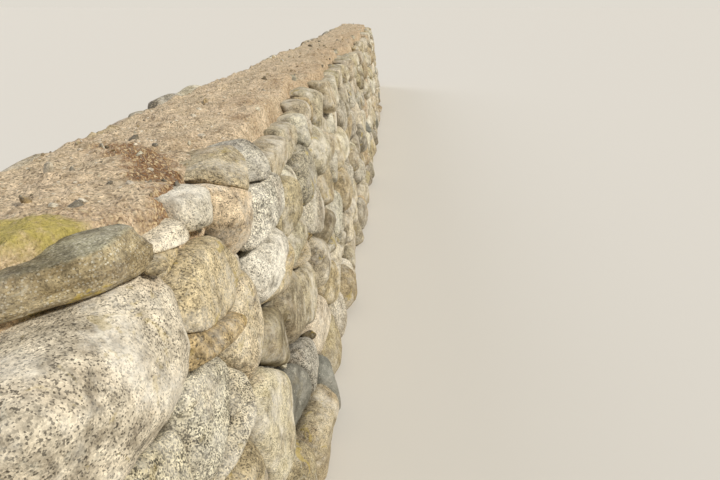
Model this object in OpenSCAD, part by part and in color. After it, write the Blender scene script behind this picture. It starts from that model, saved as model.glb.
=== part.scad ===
// Dry stone retaining wall of rounded granite field stones, laid without mortar.
// A leaning face of boulders and a plumb back stand on their own footing stones, with a
// heart of small packing between them and a crust of earth and gravel along the top.
// X runs along the wall, the leaning face looks towards -Y, and the floor is z = 0.

/* [Run] */
// Length of each of the six bays
bay_l = 2000; // [1200:50:2400]
// Height of the edge stones above the floor
wall_h = 1200; // [900:20:1500]
// How far the low end stands back, and the high end forward, of the middle line
swing = 110; // [0:5:150]
// How far the middle of the run stands forward of its ends
belly = 30; // [0:5:60]

/* [Section] */
// Thickness at the floor
foot_t = 860; // [780:10:1000]
// How far the face leans back over the height of the wall
lean = 200; // [100:5:240]
// How deep the face stones reach into the wall
face_d = 250; // [180:5:280]
// How deep the back stones reach into the wall
back_d = 200; // [150:5:220]
// How deep the edge stones of the face reach in under the crust
edge_d = 175; // [140:5:200]
// How deep the top stones of the back reach in under the crust
back_edge_d = 140; // [120:5:160]
// How far the crust of earth and gravel rises from its sides to its middle
camber = 24; // [6:2:40]

/* [Stones] */
// Usual length of a face stone along the wall
stone_l = 290; // [220:5:380]
// Usual height of a course of face stones
course_h = 190; // [150:5:260]
// How much larger the stones of the back are than those of the face
back_size = 1.22; // [1:0.02:1.5]
// How far a face stone of usual size bulges out of the wall's line
bulge = 46; // [20:2:70]
// How far behind the wall's line the stones bear on each other
bed_in = 22; // [10:2:50]
// Gap between stones that bear on each other
joint = 0.6; // [0.4:0.1:0.8]
// How far the tops of the edge stones vary in height
ragged = 55; // [0:5:90]

/* [Edge slabs] */
// Length of the longest flat slab laid on the edge stones
slab_l = 560; // [400:10:800]
// Width of a slab from front to back
slab_w = 160; // [120:10:300]
// Thickness of a slab
slab_t = 94; // [50:2:120]
// How far the nose of the first slab stands out of the wall's line
slab_out = 42; // [0:2:60]
// How far the other slabs are set back from the wall's line
slab_back = 40; // [0:5:100]
// Distance from the low end of the run to the nose of the first slab
slab_nose = 920; // [700:10:1200]
// How far the first slab is turned away from the wall's line, in degrees
slab_turn = 42; // [0:1:45]

/* [Hidden] */
BAYS = 6;
KINDS = ["footing_stones", "face_stones", "edge_stones", "edge_slab", "back_stones", "hearting", "earth_crust"];

FACE = -1;
BACK = 1;
run_l = BAYS * bay_l;
// Underside of the crust: stones that reach above it are edge stones
crust_bed = wall_h - ragged - course_h * 0.35;
// A stone's usual length to its usual height
aspect = 1.36;
// Edges shorter than this are left as a hole between stones
short_edge = 26;
most_corners = 7;

// Stones chosen by hand near the low end of the face: distance from that end, depth of the
// middle below the edge, and length.
CHOSEN = [
    [740, 105, 380], [1120, 165, 300], [1075, 8, 120], [1195, 5, 110], [1005, 385, 260],
    [1235, 350, 120], [680, 350, 320], [1290, 640, 290], [1400, 50, 220], [1640, 165, 230],
    [1610, 360, 320], [1480, 515, 240], [1730, 545, 230], [1670, 820, 200], [960, 640, 300]
];
FIRST_CHOSEN = 90000;
// How far a chosen stone's top stands above the edge
chosen_rise = 28;

// Plan line of the run: two cosine waves, square to both ends.
function line_y(x) = let (a = 180 * (x / run_l + 0.5)) swing * cos(a) + belly * cos(2 * a);
function line_slope(x) =
    let (a = 180 * (x / run_l + 0.5)) -(swing * sin(a) + 2 * belly * sin(2 * a)) * PI / run_l;

function draw(low, high, seed) = rands(low, high, 1, seed)[0];
function blend(a, b, t) = a + (b - a) * t;

// Courses: the lower ones are taller, and each is a row of sites [x, z, radius, number].
function size_of(side) = side == FACE ? 1 : back_size;
function courses(side) = max(3, round(wall_h / (course_h * size_of(side))));
function bed(side, k) = wall_h * pow(k / courses(side), 0.92);
function lengths(side, k) =
    rands(0.62, 1.42, ceil(run_l / stone_l * 2) + 2, 700 + 40 * side + k) * stone_l * size_of(side);

function course_sites(side, k) =
    let (
        long = lengths(side, k),
        low = bed(side, k),
        high = bed(side, k + 1),
        phase = 1900 + 230 * k + 500 * side
    )
    [for (i = 0, x = -run_l / 2 - long[0] * draw(0.1, 0.6, 31 + k + side); x < run_l / 2; x = x + long[i], i = i + 1)
        let (
            seed = 10000 * (side + 2) + 500 * k + i,
            wave = 0.16 * course_h * sin(360 * x / phase + 77 * k),
            lift = k == 0 ? 0 : wave + draw(-0.2, 0.2, seed) * course_h
        )
        if (x + long[i] / 2 > -run_l / 2 + 40 && x + long[i] / 2 < run_l / 2 - 40)
            [x + long[i] / 2, (low + high) / 2 + lift, blend(stone_l * size_of(side), long[i], 0.72) / 2, seed]
    ];

function chosen_sites() =
    [for (i = [0:len(CHOSEN) - 1])
        [CHOSEN[i][0] - run_l / 2, wall_h - CHOSEN[i][1], CHOSEN[i][2] / 2, FIRST_CHOSEN + i]];

function spread(a, b) = norm([a[0] - b[0], aspect * (a[1] - b[1])]);
function crowds(s, others) = len([for (q = others) if (spread(s, q) < 0.86 * (s[2] + q[2])) q]) > 0;

function sites(side) =
    let (rows = [for (k = [0:courses(side) - 1]) each course_sites(side, k)])
    side == BACK ? rows : concat(chosen_sites(), [for (s = rows) if (!crowds(s, chosen_sites())) s]);

// Half planes [normal, distance] that bound the cell of one site.
function half_plane(n, d) = [n / norm(n), d / norm(n)];
function between(s, q) =
    let (
        dx = q[0] - s[0],
        dz = aspect * (q[1] - s[1]),
        d = (dx * (q[0] + s[0]) + dz * aspect * (q[1] + s[1]) - q[2] * q[2] + s[2] * s[2]) / 2,
        h = half_plane([dx, aspect * dz], d)
    )
    [h[0], h[1] - joint / 2];

// Points p of a convex outline with n * p no more than d.
function clip(outline, h) =
    [for (i = [0:len(outline) - 1])
        let (
            p = outline[i],
            q = outline[(i + 1) % len(outline)],
            a = h[1] - h[0] * p,
            b = h[1] - h[0] * q
        )
        each concat(a >= 0 ? [p] : [], (a >= 0) != (b >= 0) ? [p + (q - p) * a / (a - b)] : [])
    ];
function clip_all(outline, planes, i = 0) =
    i == len(planes) || len(outline) < 3 ? outline : clip_all(clip(outline, planes[i]), planes, i + 1);

// Leaving out corners only makes a convex outline smaller, so neighbours never overlap.
function without(list, k) = [for (i = [0:len(list) - 1]) if (i != k) list[i]];
function corner_area(o, i) =
    let (n = len(o), a = o[(i + n - 1) % n] - o[i], b = o[(i + 1) % n] - o[i]) abs(a[0] * b[1] - a[1] * b[0]);
function edge_before(o, i) = norm(o[i] - o[(i + len(o) - 1) % len(o)]);
function smallest(values) = search(min(values), values)[0];
function simpler(o) =
    let (
        n = len(o),
        edges = [for (i = [0:n - 1]) edge_before(o, i)],
        areas = [for (i = [0:n - 1]) corner_area(o, i)]
    )
    n > 4 && min(edges) < short_edge
        ? let (i = smallest(edges), j = (i + n - 1) % n) simpler(without(o, areas[i] < areas[j] ? i : j))
        : n > most_corners ? simpler(without(o, smallest(areas))) : o;

// The first bay's slab is the longest, and is turned so that its nose lies on the edge.
function slab_long(b) = slab_l * (b == 1 ? 1 : draw(0.5, 0.72, 50 + b));
function slab_thick(b) = slab_t * (b == 1 ? 1 : draw(0.55, 0.75, 90 + b));
function slab_angle(b) = b == 1 ? -slab_turn : draw(-8, 8, 70 + b);
function slab_x(b) =
    (b - 1) * bay_l - run_l / 2
    + (b == 1 ? slab_nose - slab_long(b) / 2 * cos(slab_turn) : draw(0.3, 0.7, 60 + b) * bay_l);
function under_slab(o) =
    len([for (b = [1:BAYS])
        if (low_x(o) < slab_x(b) + slab_long(b) / 2 && high_x(o) > slab_x(b) - slab_long(b) / 2) b]) > 0;

function is_chosen(s) = s[3] >= FIRST_CHOSEN;
function top_line(s) =
    let (
        tilt = draw(-0.09, 0.09, s[3] + 3),
        top = wall_h + (is_chosen(s) ? chosen_rise : -ragged * draw(0.15, 1, s[3] + 4))
    )
    half_plane([tilt, 1], tilt * s[0] + top);

// The outline of one stone. Under a slab its top is a level bed.
function cell(s, all) =
    let (
        reach = 3.2 * stone_l * back_size,
        half = run_l / 2,
        whole = [[-half, 0], [half, 0], [half, wall_h + slab_t], [-half, wall_h + slab_t]],
        close = [for (q = all) if (q != s && abs(q[0] - s[0]) < reach) if (spread(s, q) < reach) q],
        o = clip_all(whole, [for (q = close) between(s, q)])
    )
    simpler(clip(o, under_slab(o) ? [[0, 1], wall_h] : top_line(s)));

function middle(o) = [for (a = [0, 1]) ([for (p = o) p[a]] * [for (p = o) 1]) / len(o)];
function low_z(o) = min([for (p = o) p[1]]);
function high_z(o) = max([for (p = o) p[1]]);
function low_x(o) = min([for (p = o) p[0]]);
function high_x(o) = max([for (p = o) p[0]]);
function on_floor(o) = low_z(o) < joint;
function on_edge(o) = high_z(o) > crust_bed;

// Y of the wall's face or back at a point [x, z], with the plan line straight across one stone.
function skin_y(side, s, p) =
    line_y(s[0]) + line_slope(s[0]) * (p[0] - s[0])
    + (side == FACE ? lean * p[1] / wall_h - foot_t / 2 : foot_t / 2);

// One ring of a stone: its outline drawn in towards a centre and moved out of the wall's line.
function ring(side, s, o, centre, part, out) =
    [for (p = o) let (q = centre + part * (p - centre)) [q[0], skin_y(side, s, q) + side * out, q[1]]];

// The tail keeps to the floor, to the level bed of a slab and to the plain ends of the run.
function tail_centre(o, c) = [
    low_x(o) < joint - run_l / 2 ? -run_l / 2 : high_x(o) > run_l / 2 - joint ? run_l / 2 : c[0],
    on_floor(o) ? 0 : abs(high_z(o) - wall_h) < joint ? wall_h : c[1]
];

// A stone: a bulging head, its full outline a little way in, and a narrower tail. The heads
// that show above the footing have a shoulder.
function stone_rings(side, s, o) =
    let (
        c = middle(o),
        across = min(high_x(o) - low_x(o), aspect * (high_z(o) - low_z(o))),
        proud = bulge * across / stone_l * draw(0.7, 1.25, s[3] + 5),
        shift = [draw(-0.09, 0.09, s[3] + 6) * across, draw(-0.07, 0.07, s[3] + 7) * across],
        deep = on_edge(o)
            ? (side == FACE ? edge_d : back_edge_d)
            : (side == FACE ? face_d : back_d) * min(1, draw(0.72, 1.3, s[3] + 8))
    )
    concat(
        side == FACE && !on_floor(o)
            ? [
                ring(side, s, o, c + 1.6 * shift, draw(0.42, 0.52, s[3] + 9), proud),
                ring(side, s, o, c + shift, draw(0.8, 0.86, s[3] + 10), 0.5 * proud)
            ]
            : [ring(side, s, o, c + shift, draw(0.6, 0.72, s[3] + 9), proud)],
        [
            ring(side, s, o, c, 1, -bed_in),
            ring(side, s, o, tail_centre(o, c), 0.84, -deep)
        ]
    );

// A closed solid through rings of equally many points.
module through_rings(rings) {
    n = len(rings[0]);
    m = len(rings);
    polyhedron(
        points = [for (r = rings) each r],
        faces = concat(
            [[for (i = [0:n - 1]) i]],
            [for (j = [0:m - 2], i = [0:n - 1])
                [j * n + i, (j + 1) * n + i, (j + 1) * n + (i + 1) % n, j * n + (i + 1) % n]],
            [[for (i = [n - 1:-1:0]) (m - 1) * n + i]]
        )
    );
}

function turned(list) = [for (i = [len(list) - 1:-1:0]) list[i]];
function bay_of(x) = min(BAYS, max(1, 1 + floor((x + run_l / 2) / bay_l)));

// The stones of one side and bay in one place: on the floor, between, or at the edge.
ON_FLOOR = 0;
BETWEEN = 1;
AT_EDGE = 2;
function place_of(side, o) = on_floor(o) ? ON_FLOOR : side == FACE && on_edge(o) ? AT_EDGE : BETWEEN;
module stones(side, b, place) {
    all = sites(side);
    for (s = all) if (bay_of(s[0]) == b) {
        o = cell(s, all);
        if (len(o) > 3 && place_of(side, o) == place)
            through_rings([for (r = stone_rings(side, s, o)) side == FACE ? turned(r) : r]);
    }
}

module footing_stones(b) {
    color("#8f8a7e") stones(FACE, b, ON_FLOOR);
    color("#8f8a7e") stones(BACK, b, ON_FLOOR);
}

module face_stones(b) {
    color("#cfc6b2") stones(FACE, b, BETWEEN);
}

module edge_stones(b) {
    color("#ddd6c6") stones(FACE, b, AT_EDGE);
}

module back_stones(b) {
    color("#b8ae9a") stones(BACK, b, BETWEEN);
}

// A flat slab on the edge stones: a long rounded outline, widest at half its thickness.
function slab_ring(b, part, z) =
    let (
        t = slab_angle(b),
        x = slab_x(b),
        aside = norm([sin(t) * slab_long(b) / 2, cos(t) * slab_w / 2]),
        y = line_y(x) - foot_t / 2 + lean + aside + (b == 1 ? -slab_out : slab_back)
    )
    [for (i = [0:9])
        let (
            a = 36 * i,
            r = part * draw(0.92, 1.0, 800 + 20 * b + i),
            square = 1 / pow(pow(abs(cos(a)), 2.6) + pow(abs(sin(a)), 2.6), 1 / 2.6),
            u = r * square * cos(a) * slab_long(b) / 2,
            v = r * square * sin(a) * slab_w / 2
        )
        [x + u * cos(t) - v * sin(t), y + u * sin(t) + v * cos(t), z]];

module edge_slab(b) {
    bed_z = wall_h + joint / 2;
    color("#857a68")
        through_rings([
            slab_ring(b, 0.88, bed_z),
            slab_ring(b, 1, bed_z + 0.45 * slab_thick(b)),
            slab_ring(b, 0.8, bed_z + slab_thick(b))
        ]);
}

// Fill between the tails of stones of two depths, from one height to another, along one bay.
function fill_ring(x, front_d, rear_d, low, high, crown) =
    let (
        front = line_y(x) - foot_t / 2 + front_d + joint,
        back = line_y(x) + foot_t / 2 - rear_d - joint,
        rise = lean / wall_h
    )
    concat(
        [[x, front + rise * low, low], [x, back, low], [x, back, high]],
        crown > 0 ? [[x, (front + rise * high + back) / 2, high + crown]] : [],
        [[x, front + rise * high, high]]
    );

module fill(b, front_d, rear_d, low, high, crown) {
    steps = 6;
    start = -run_l / 2 + (b - 1) * bay_l;
    through_rings([
        for (i = [0:steps])
            turned(fill_ring(start + bay_l * i / steps, front_d, rear_d, low, high, crown))
    ]);
}

module hearting(b) {
    color("#7d7568") fill(b, face_d, back_d, 0, crust_bed, 0);
}

// The crust's middle is level with the bed of the slabs.
module earth_crust(b) {
    color("#b49c7d") fill(b, edge_d, back_edge_d, crust_bed + joint, wall_h - camber, camber);
}

module piece(b, kind) {
    if (kind == "footing_stones") footing_stones(b);
    if (kind == "face_stones") face_stones(b);
    if (kind == "edge_stones") edge_stones(b);
    if (kind == "edge_slab") edge_slab(b);
    if (kind == "back_stones") back_stones(b);
    if (kind == "hearting") hearting(b);
    if (kind == "earth_crust") earth_crust(b);
}

for (b = [1:BAYS], kind = KINDS)
    piece(b, kind);
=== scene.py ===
"""Looks of a dry stone retaining wall of weathered granite field stones.

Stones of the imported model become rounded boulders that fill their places, and some places are shared
by two smaller ones. Small pinning stones wedge the holes, rubble shows at the plain ends, and
gravelly earth with pebbles lies on top.
Lengths are in metres, X runs along the wall, the leaning face looks towards -Y and Z is up.
"""
import functools
import math

import bmesh
import bpy
import numpy as np
from bpy.props import FloatProperty, FloatVectorProperty, IntProperty, PointerProperty
from mathutils import Euler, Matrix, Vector


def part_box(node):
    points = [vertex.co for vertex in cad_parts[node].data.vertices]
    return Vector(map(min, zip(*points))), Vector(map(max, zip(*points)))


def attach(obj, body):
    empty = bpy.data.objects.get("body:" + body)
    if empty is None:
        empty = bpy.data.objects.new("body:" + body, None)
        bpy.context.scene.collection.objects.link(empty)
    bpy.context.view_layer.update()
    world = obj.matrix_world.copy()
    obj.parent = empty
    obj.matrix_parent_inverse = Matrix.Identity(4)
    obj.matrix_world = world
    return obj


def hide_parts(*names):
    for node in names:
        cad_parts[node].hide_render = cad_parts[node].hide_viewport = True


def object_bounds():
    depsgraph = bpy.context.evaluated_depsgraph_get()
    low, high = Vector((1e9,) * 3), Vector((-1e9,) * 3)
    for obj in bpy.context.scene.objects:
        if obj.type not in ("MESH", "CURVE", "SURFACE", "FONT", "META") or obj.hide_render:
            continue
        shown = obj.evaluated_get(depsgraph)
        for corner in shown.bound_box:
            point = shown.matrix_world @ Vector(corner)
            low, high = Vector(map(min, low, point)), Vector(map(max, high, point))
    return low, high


bl_info = {
    "name": "Dry stone wall",
    "version": (1, 0, 0),
    "blender": (4, 5, 0),
    "location": "3D View > Sidebar > Dry stone wall",
    "description": "Weathered granite boulders, packing and earth on a packed dry stone wall",
    "category": "Object",
}

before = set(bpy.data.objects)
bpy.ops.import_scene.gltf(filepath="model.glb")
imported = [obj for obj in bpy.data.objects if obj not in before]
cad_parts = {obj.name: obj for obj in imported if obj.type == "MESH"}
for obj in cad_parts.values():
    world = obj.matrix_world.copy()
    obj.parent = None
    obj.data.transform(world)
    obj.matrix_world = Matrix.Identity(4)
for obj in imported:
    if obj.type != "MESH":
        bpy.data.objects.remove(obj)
CAD_LOW, CAD_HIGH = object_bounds()

MM = 0.001
BAYS = 6
LOW_END = CAD_LOW.x
HIGH_END = CAD_HIGH.x
# The slabs lie on the level tops of the stones under them.
WALL_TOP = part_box("bay_1_edge_slab")[0].z
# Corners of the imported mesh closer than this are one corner, triangles smaller than this are left
# out, and facets whose normals' product is more than this face the same way.
MERGE = 0.01 * MM
NO_AREA = 1e-8
SAME_WAY = 0.9995
# The two sides of the wall, by the way that they face along Y.
FACE = -1
BACK = 1


def linear(code):
    """An sRGB hex colour as linear red, green, blue and alpha."""
    parts = [int(code[i:i + 2], 16) / 255 for i in (1, 3, 5)]
    return tuple(c / 12.92 if c <= 0.04045 else ((c + 0.055) / 1.055) ** 2.4 for c in parts) + (1.0,)


# The stones' usual tones and how many of each lie in the wall: rock, colour, share.
TONES = (
    ("speckled_granite", "#cfc4aa", 8),
    ("speckled_granite", "#c4b697", 8),
    ("speckled_granite", "#dcd5bf", 5),
    ("speckled_granite", "#bbb095", 6),
    ("peppered_granite", "#cbc3ae", 6),
    ("peppered_granite", "#b0a893", 4),
    ("gritty_granite", "#c7b894", 7),
    ("gritty_granite", "#bfad8a", 5),
    ("gritty_granite", "#cab696", 2),
    ("banded_gneiss", "#b3a88e", 3),
    ("banded_gneiss", "#a69a7e", 2),
    ("dark_dolerite", "#85857a", 2),
)
# The tones of pebbles, pinning stones and rubble.
SMALL_TONES = (
    ("speckled_granite", "#d6ccb4", 3),
    ("speckled_granite", "#b7ab90", 3),
    ("gritty_granite", "#c2ad82", 4),
    ("gritty_granite", "#a8926a", 3),
    ("banded_gneiss", "#8f846c", 3),
    ("dark_dolerite", "#7b7363", 2),
)
# Stones that stand out beside the low end: metres from that end, metres below the top, rock,
# colour and how much lichen grows on them.
NEAR_STONES = (
    (0.755, 0.13, "speckled_granite", "#d9cfb7", 0.4),
    (1.126, 0.16, "gritty_granite", "#cbbc97", 0.75),
    (1.04, 0.03, "speckled_granite", "#ddd4bb", 0.1),
    (1.205, 0.017, "speckled_granite", "#d9d2bc", 0.2),
    (1.014, 0.387, "peppered_granite", "#d0c8b0", 0.15),
    (1.289, 0.349, "gritty_granite", "#d2c6a6", 0.45),
    (0.664, 0.423, "peppered_granite", "#d2c8ac", 0.3),
    (1.26, 0.673, "speckled_granite", "#cec2a5", 0.2),
    (1.393, 0.088, "gritty_granite", "#cdbd9b", 0.5),
    (1.684, 0.127, "peppered_granite", "#c4bdab", 0.0),
    (1.637, 0.355, "speckled_granite", "#ece7d6", 0.0),
    (1.486, 0.547, "banded_gneiss", "#b1a486", 0.1),
    (1.721, 0.556, "banded_gneiss", "#b9af94", 0.1),
    (1.696, 0.828, "peppered_granite", "#b4b0a2", 0.1),
    (0.92, 0.636, "gritty_granite", "#c2b28d", 0.5),
)
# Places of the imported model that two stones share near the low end: metres from that end, metres
# below the top, the cut's normal along X and Z, how far along it the cut lies, how far the stone
# behind the cut stands out, and that stone's rock, colour and lichen.
NEAR_PAIRS = (
    (1.04, 0.03, (0.25, 1.0), 0.5, 0.0, "gritty_granite", "#c6b48c", 0.8),
    (1.393, 0.088, (0.5, 1.0), 0.52, 0.0, "speckled_granite", "#dcc8a8", 0.1),
    (1.126, 0.16, (0.36, 1.0), 0.28, 0.03, "gritty_granite", "#bfab80", 0.4),
    (1.684, 0.127, (0.1, 1.0), 0.6, 0.01, "peppered_granite", "#ddd6c2", 0.0),
    (1.637, 0.355, (-0.2, 1.0), 0.42, 0.0, "gritty_granite", "#c6b68f", 0.7),
    (1.014, 0.387, (-0.5, 1.0), 0.4, 0.015, "peppered_granite", "#d2c8ac", 0.3),
    (1.696, 0.828, (1.0, 0.3), 0.52, 0.0, "dark_dolerite", "#76766a", 0.1),
)
# A flake that lies level by the slab's nose: metres from the low end, Y, metres above the slabs'
# bed, half sizes in millimetres, and its rock, colour and lichen.
NEAR_FLAKE = (0.895, -0.126, -0.002, (40, 26, 9), "gritty_granite", "#cdbd98", 0.3)
# Pebbles that stand out there: metres from the low end, Y, half sizes in millimetres, and their rock,
# colour and lichen.
NEAR_PEBBLES = (
    (1.21, 0.04, (15, 12, 9), "speckled_granite", "#e8dfca", 0.1),
    (1.02, 0.1, (11, 9, 7), "speckled_granite", "#d9d0ba", 0.1),
    (0.93, 0.21, (13, 10, 8), "banded_gneiss", "#8d8778", 0.1),
)
# Where the earth laps further over the edge, and where it stays back under the first slab: metres
# from the low end, how far to each side, and how far it moves.
HEAP = (1.2, 0.17, 0.035)
HOLLOW = (0.6, 0.3, 0.055)
# How far the heap stands above the rest.
HEAP_HEIGHT = 0.014
# The flat top, front and nose of a slab: a direction and how far out it lies, as a part of the size.
SLAB_FLATS = ((0.0, -0.1, 1.0, 0.64), (0.1, -1.0, 0.1, 0.78), (1.0, -0.3, 0.1, 0.97))
# How thick a slab is, as a part of its packed size: in the first bay, and in the others.
SLAB_THICK = (1.0, 0.7)
# Middles of the patch of moss and of the band of dry roots: metres from the low end, and Y. The
# roots' line goes back from the edge by an angle, and bends aside by the last value times the square
# of the way along it.
MOSS_AT = (0.86, 0.09)
ROOTS_AT = (1.39, 0.055)
ROOTS_TURN = math.radians(37)
ROOTS_BEND = 0.44


# Numbers and noise

# Large odd numbers that scatter a cell's coordinates, the seed, and what comes of both.
CELL_ODD = (374761393, 668265263, 1440662683)
SEED_ODD = 974634777
BOTH_ODD = 1274126177
MOST = 0xFFFFFFFF


def mixed(cells, seed):
    """A number from 0 to 1 for each whole-number cell, by multiplying and folding its coordinates."""
    h = (cells @ np.array(CELL_ODD) + seed * SEED_ODD) & MOST
    h = ((h ^ (h >> 13)) * BOTH_ODD) & MOST
    return (h ^ (h >> 16)) / MOST


def noise(at, seed=0):
    """Smooth noise from -1 to 1: a random value at each whole-number point, blended by a quintic."""
    cell = np.floor(at).astype(np.int64)
    f = at - cell
    ease = f * f * f * (f * (f * 6 - 15) + 10)
    total = np.zeros(len(at))
    for corner in np.ndindex(2, 2, 2):
        weight = np.where(corner, ease, 1 - ease).prod(axis=1)
        total += weight * mixed(cell + np.array(corner), seed)
    return 2 * total - 1


def layered(at, layers, seed=0):
    """Noise on noise: each layer is half as large in size and in strength as the one before."""
    return sum(noise(at * 2.0 ** k, seed + k) / 2 ** k for k in range(layers)) / (2 - 0.5 ** (layers - 1))


def eased(low, high, value):
    """0 below low and 1 above high, with a smooth rise between."""
    t = np.clip((value - low) / (high - low), 0, 1)
    return t * t * (3 - 2 * t)


def turn(rng):
    """A random turn, as a 3 by 3 matrix."""
    return np.array(Euler(rng.uniform(0, 2 * math.pi, 3)).to_matrix())


# Meshes


@functools.cache
def ball(n):
    """Directions and quads of a closed ball: an n by n grid on each side of a cube, spread evenly by
    a tangent and drawn out to length 1. A point shared by several sides is one point."""
    i, j = np.meshgrid(np.arange(n + 1), np.arange(n + 1), indexing="ij")
    points, quads = [], []
    for axis in range(3):
        for end in (0, n):
            side = np.empty((n + 1, n + 1, 3), int)
            side[..., axis] = end
            side[..., (axis + 1) % 3] = i
            side[..., (axis + 2) % 3] = j
            number = np.arange((n + 1) ** 2).reshape(n + 1, n + 1) + len(points) * (n + 1) ** 2
            quad = np.stack([number[:-1, :-1], number[1:, :-1], number[1:, 1:], number[:-1, 1:]], -1)
            quads.append(quad.reshape(-1, 4)[:, ::1 if end else -1])
            points.append(side.reshape(-1, 3))
    points, same = np.unique(np.concatenate(points), axis=0, return_inverse=True)
    way = np.tan((2 * points / n - 1) * math.pi / 4)
    return way / np.linalg.norm(way, axis=1, keepdims=True), same.reshape(-1)[np.concatenate(quads)]


def corner_normals(points, quads):
    """Unit normals at the points: the sum of the crossed diagonals of the quads round each one."""
    p = points[quads]
    cross = np.cross(p[:, 2] - p[:, 0], p[:, 3] - p[:, 1])
    total = np.zeros_like(points)
    for k in range(4):
        np.add.at(total, quads[:, k], cross)
    return total / np.maximum(np.linalg.norm(total, axis=1, keepdims=True), 1e-12)


def joined(parts):
    """Many parts as one: each is a dict of points, quads and values per point, and a rock number."""
    starts = np.cumsum([0] + [len(p["points"]) for p in parts[:-1]])
    made = {k: np.concatenate([p[k] for p in parts]) for k in parts[0] if k not in ("quads", "rock")}
    made["quads"] = np.concatenate([p["quads"] + s for p, s in zip(parts, starts)])
    made["rock"] = np.concatenate([np.full(len(p["quads"]), p["rock"]) for p in parts])
    return made


def new_piece(name, made, materials):
    """A mesh object of quads, smooth, with its colours and pattern places as point attributes."""
    mesh = bpy.data.meshes.new(name)
    quads = made["quads"]
    mesh.vertices.add(len(made["points"]))
    mesh.vertices.foreach_set("co", made["points"].astype(np.float32).ravel())
    mesh.loops.add(quads.size)
    mesh.loops.foreach_set("vertex_index", quads.astype(np.int32).ravel())
    mesh.polygons.add(len(quads))
    mesh.polygons.foreach_set("loop_start", np.arange(0, quads.size, 4, dtype=np.int32))
    mesh.polygons.foreach_set("material_index", made["rock"].astype(np.int32))
    mesh.polygons.foreach_set("use_smooth", np.ones(len(quads), bool))
    for material in materials:
        mesh.materials.append(material)
    for key, kind, field in (
        ("tint", "FLOAT_COLOR", "color"),
        ("pattern_at", "FLOAT_VECTOR", "vector"),
        ("soil_roots_and_shade", "FLOAT", "value"),
        ("lichen", "FLOAT", "value"),
    ):
        values = made[key].astype(np.float32).ravel()
        mesh.attributes.new(key, kind, "POINT").data.foreach_set(field, values)
    mesh.update(calc_edges=True)
    mesh.validate()
    piece = bpy.data.objects.new(name, mesh)
    bpy.context.scene.collection.objects.link(piece)
    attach(piece, "root")
    return piece


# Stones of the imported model


def read(items, field, width, kind=np.float32):
    """One field of a Blender collection as an array of rows."""
    values = np.empty(len(items) * width, kind)
    items.foreach_get(field, values)
    return values.reshape(-1, width)


@functools.cache
def solids_of(node):
    """Each closed convex solid of a CAD node: its corners, its middle, and its facets' outward
    normals with their distances from the middle. Facets in one plane count once."""
    build = bmesh.new()
    build.from_mesh(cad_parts[node].data)
    bmesh.ops.remove_doubles(build, verts=build.verts, dist=MERGE)
    mesh = bpy.data.meshes.new("merged copy")
    build.to_mesh(mesh)
    build.free()
    mesh.calc_loop_triangles()
    corners = read(mesh.vertices, "co", 3).astype(float)
    triangles = read(mesh.loop_triangles, "vertices", 3, np.int32)
    bpy.data.meshes.remove(mesh)

    label = np.arange(len(corners))
    while True:
        least = label[triangles].min(axis=1)
        new = label.copy()
        np.minimum.at(new, triangles.ravel(), np.repeat(least, 3))
        if (new == label).all():
            break
        label = new

    solids = []
    for number in np.unique(label[triangles[:, 0]]):
        own = corners[label == number]
        p = corners[triangles[label[triangles[:, 0]] == number]]
        cross = np.cross(p[:, 1] - p[:, 0], p[:, 2] - p[:, 0])
        area = np.linalg.norm(cross, axis=1)
        kept = area > NO_AREA
        normal = cross[kept] / area[kept, None]
        middle = own.mean(axis=0)
        away = ((p[kept, 0] - middle) * normal).sum(axis=1)
        same = (normal @ normal.T > SAME_WAY) & (abs(away[:, None] - away) < MM)
        first = same.argmax(axis=1) == np.arange(len(away))
        solids.append({"corners": own, "middle": middle, "normals": normal[first], "away": away[first]})
    return sorted(solids, key=lambda s: tuple(s["middle"].round(3)))


def head_of(solid, side):
    """Outward normal of a stone's head, and how far the head stands from the stone's middle."""
    k = (solid["normals"][:, 1] * side).argmax()
    return solid["normals"][k], solid["away"][k]


def sides_of(node):
    """The solids of a node with the side of the wall that each belongs to."""
    middle = (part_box(node)[0].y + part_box(node)[1].y) / 2
    for solid in solids_of(node):
        side = FACE if solid["middle"][1] < middle else BACK
        if "footing" not in node:
            side = BACK if "back" in node else FACE
        yield solid, side


# A stone belongs to a row of the near stones' tables when its middle is this near the row's place,
# where a gap in height counts for more than one along the wall.
WITHIN = 0.09
HEIGHT_COUNTS = 1.4
# Places that are shared at random: the part of them whose stones lie side by side and not one on the
# other, how far the cut may be tilted, and how far along the place it may lie.
SIDE_BY_SIDE = 0.6
CUT_TILT = 0.32
CUT_AT = (0.36, 0.64)


def gap_to(row, middle):
    """How far a stone's middle is from the place of a row of the near stones' tables."""
    along, below = middle[0] - LOW_END, WALL_TOP - middle[2]
    return math.hypot(along - row[0], HEIGHT_COUNTS * (below - row[1]))


def chosen_look(middle):
    """The rock, colour and lichen of a stone that stands out near the low end, or None."""
    nearest = min(NEAR_STONES, key=lambda row: gap_to(row, middle))
    return nearest[2:] if gap_to(nearest, middle) < WITHIN else None


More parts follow.
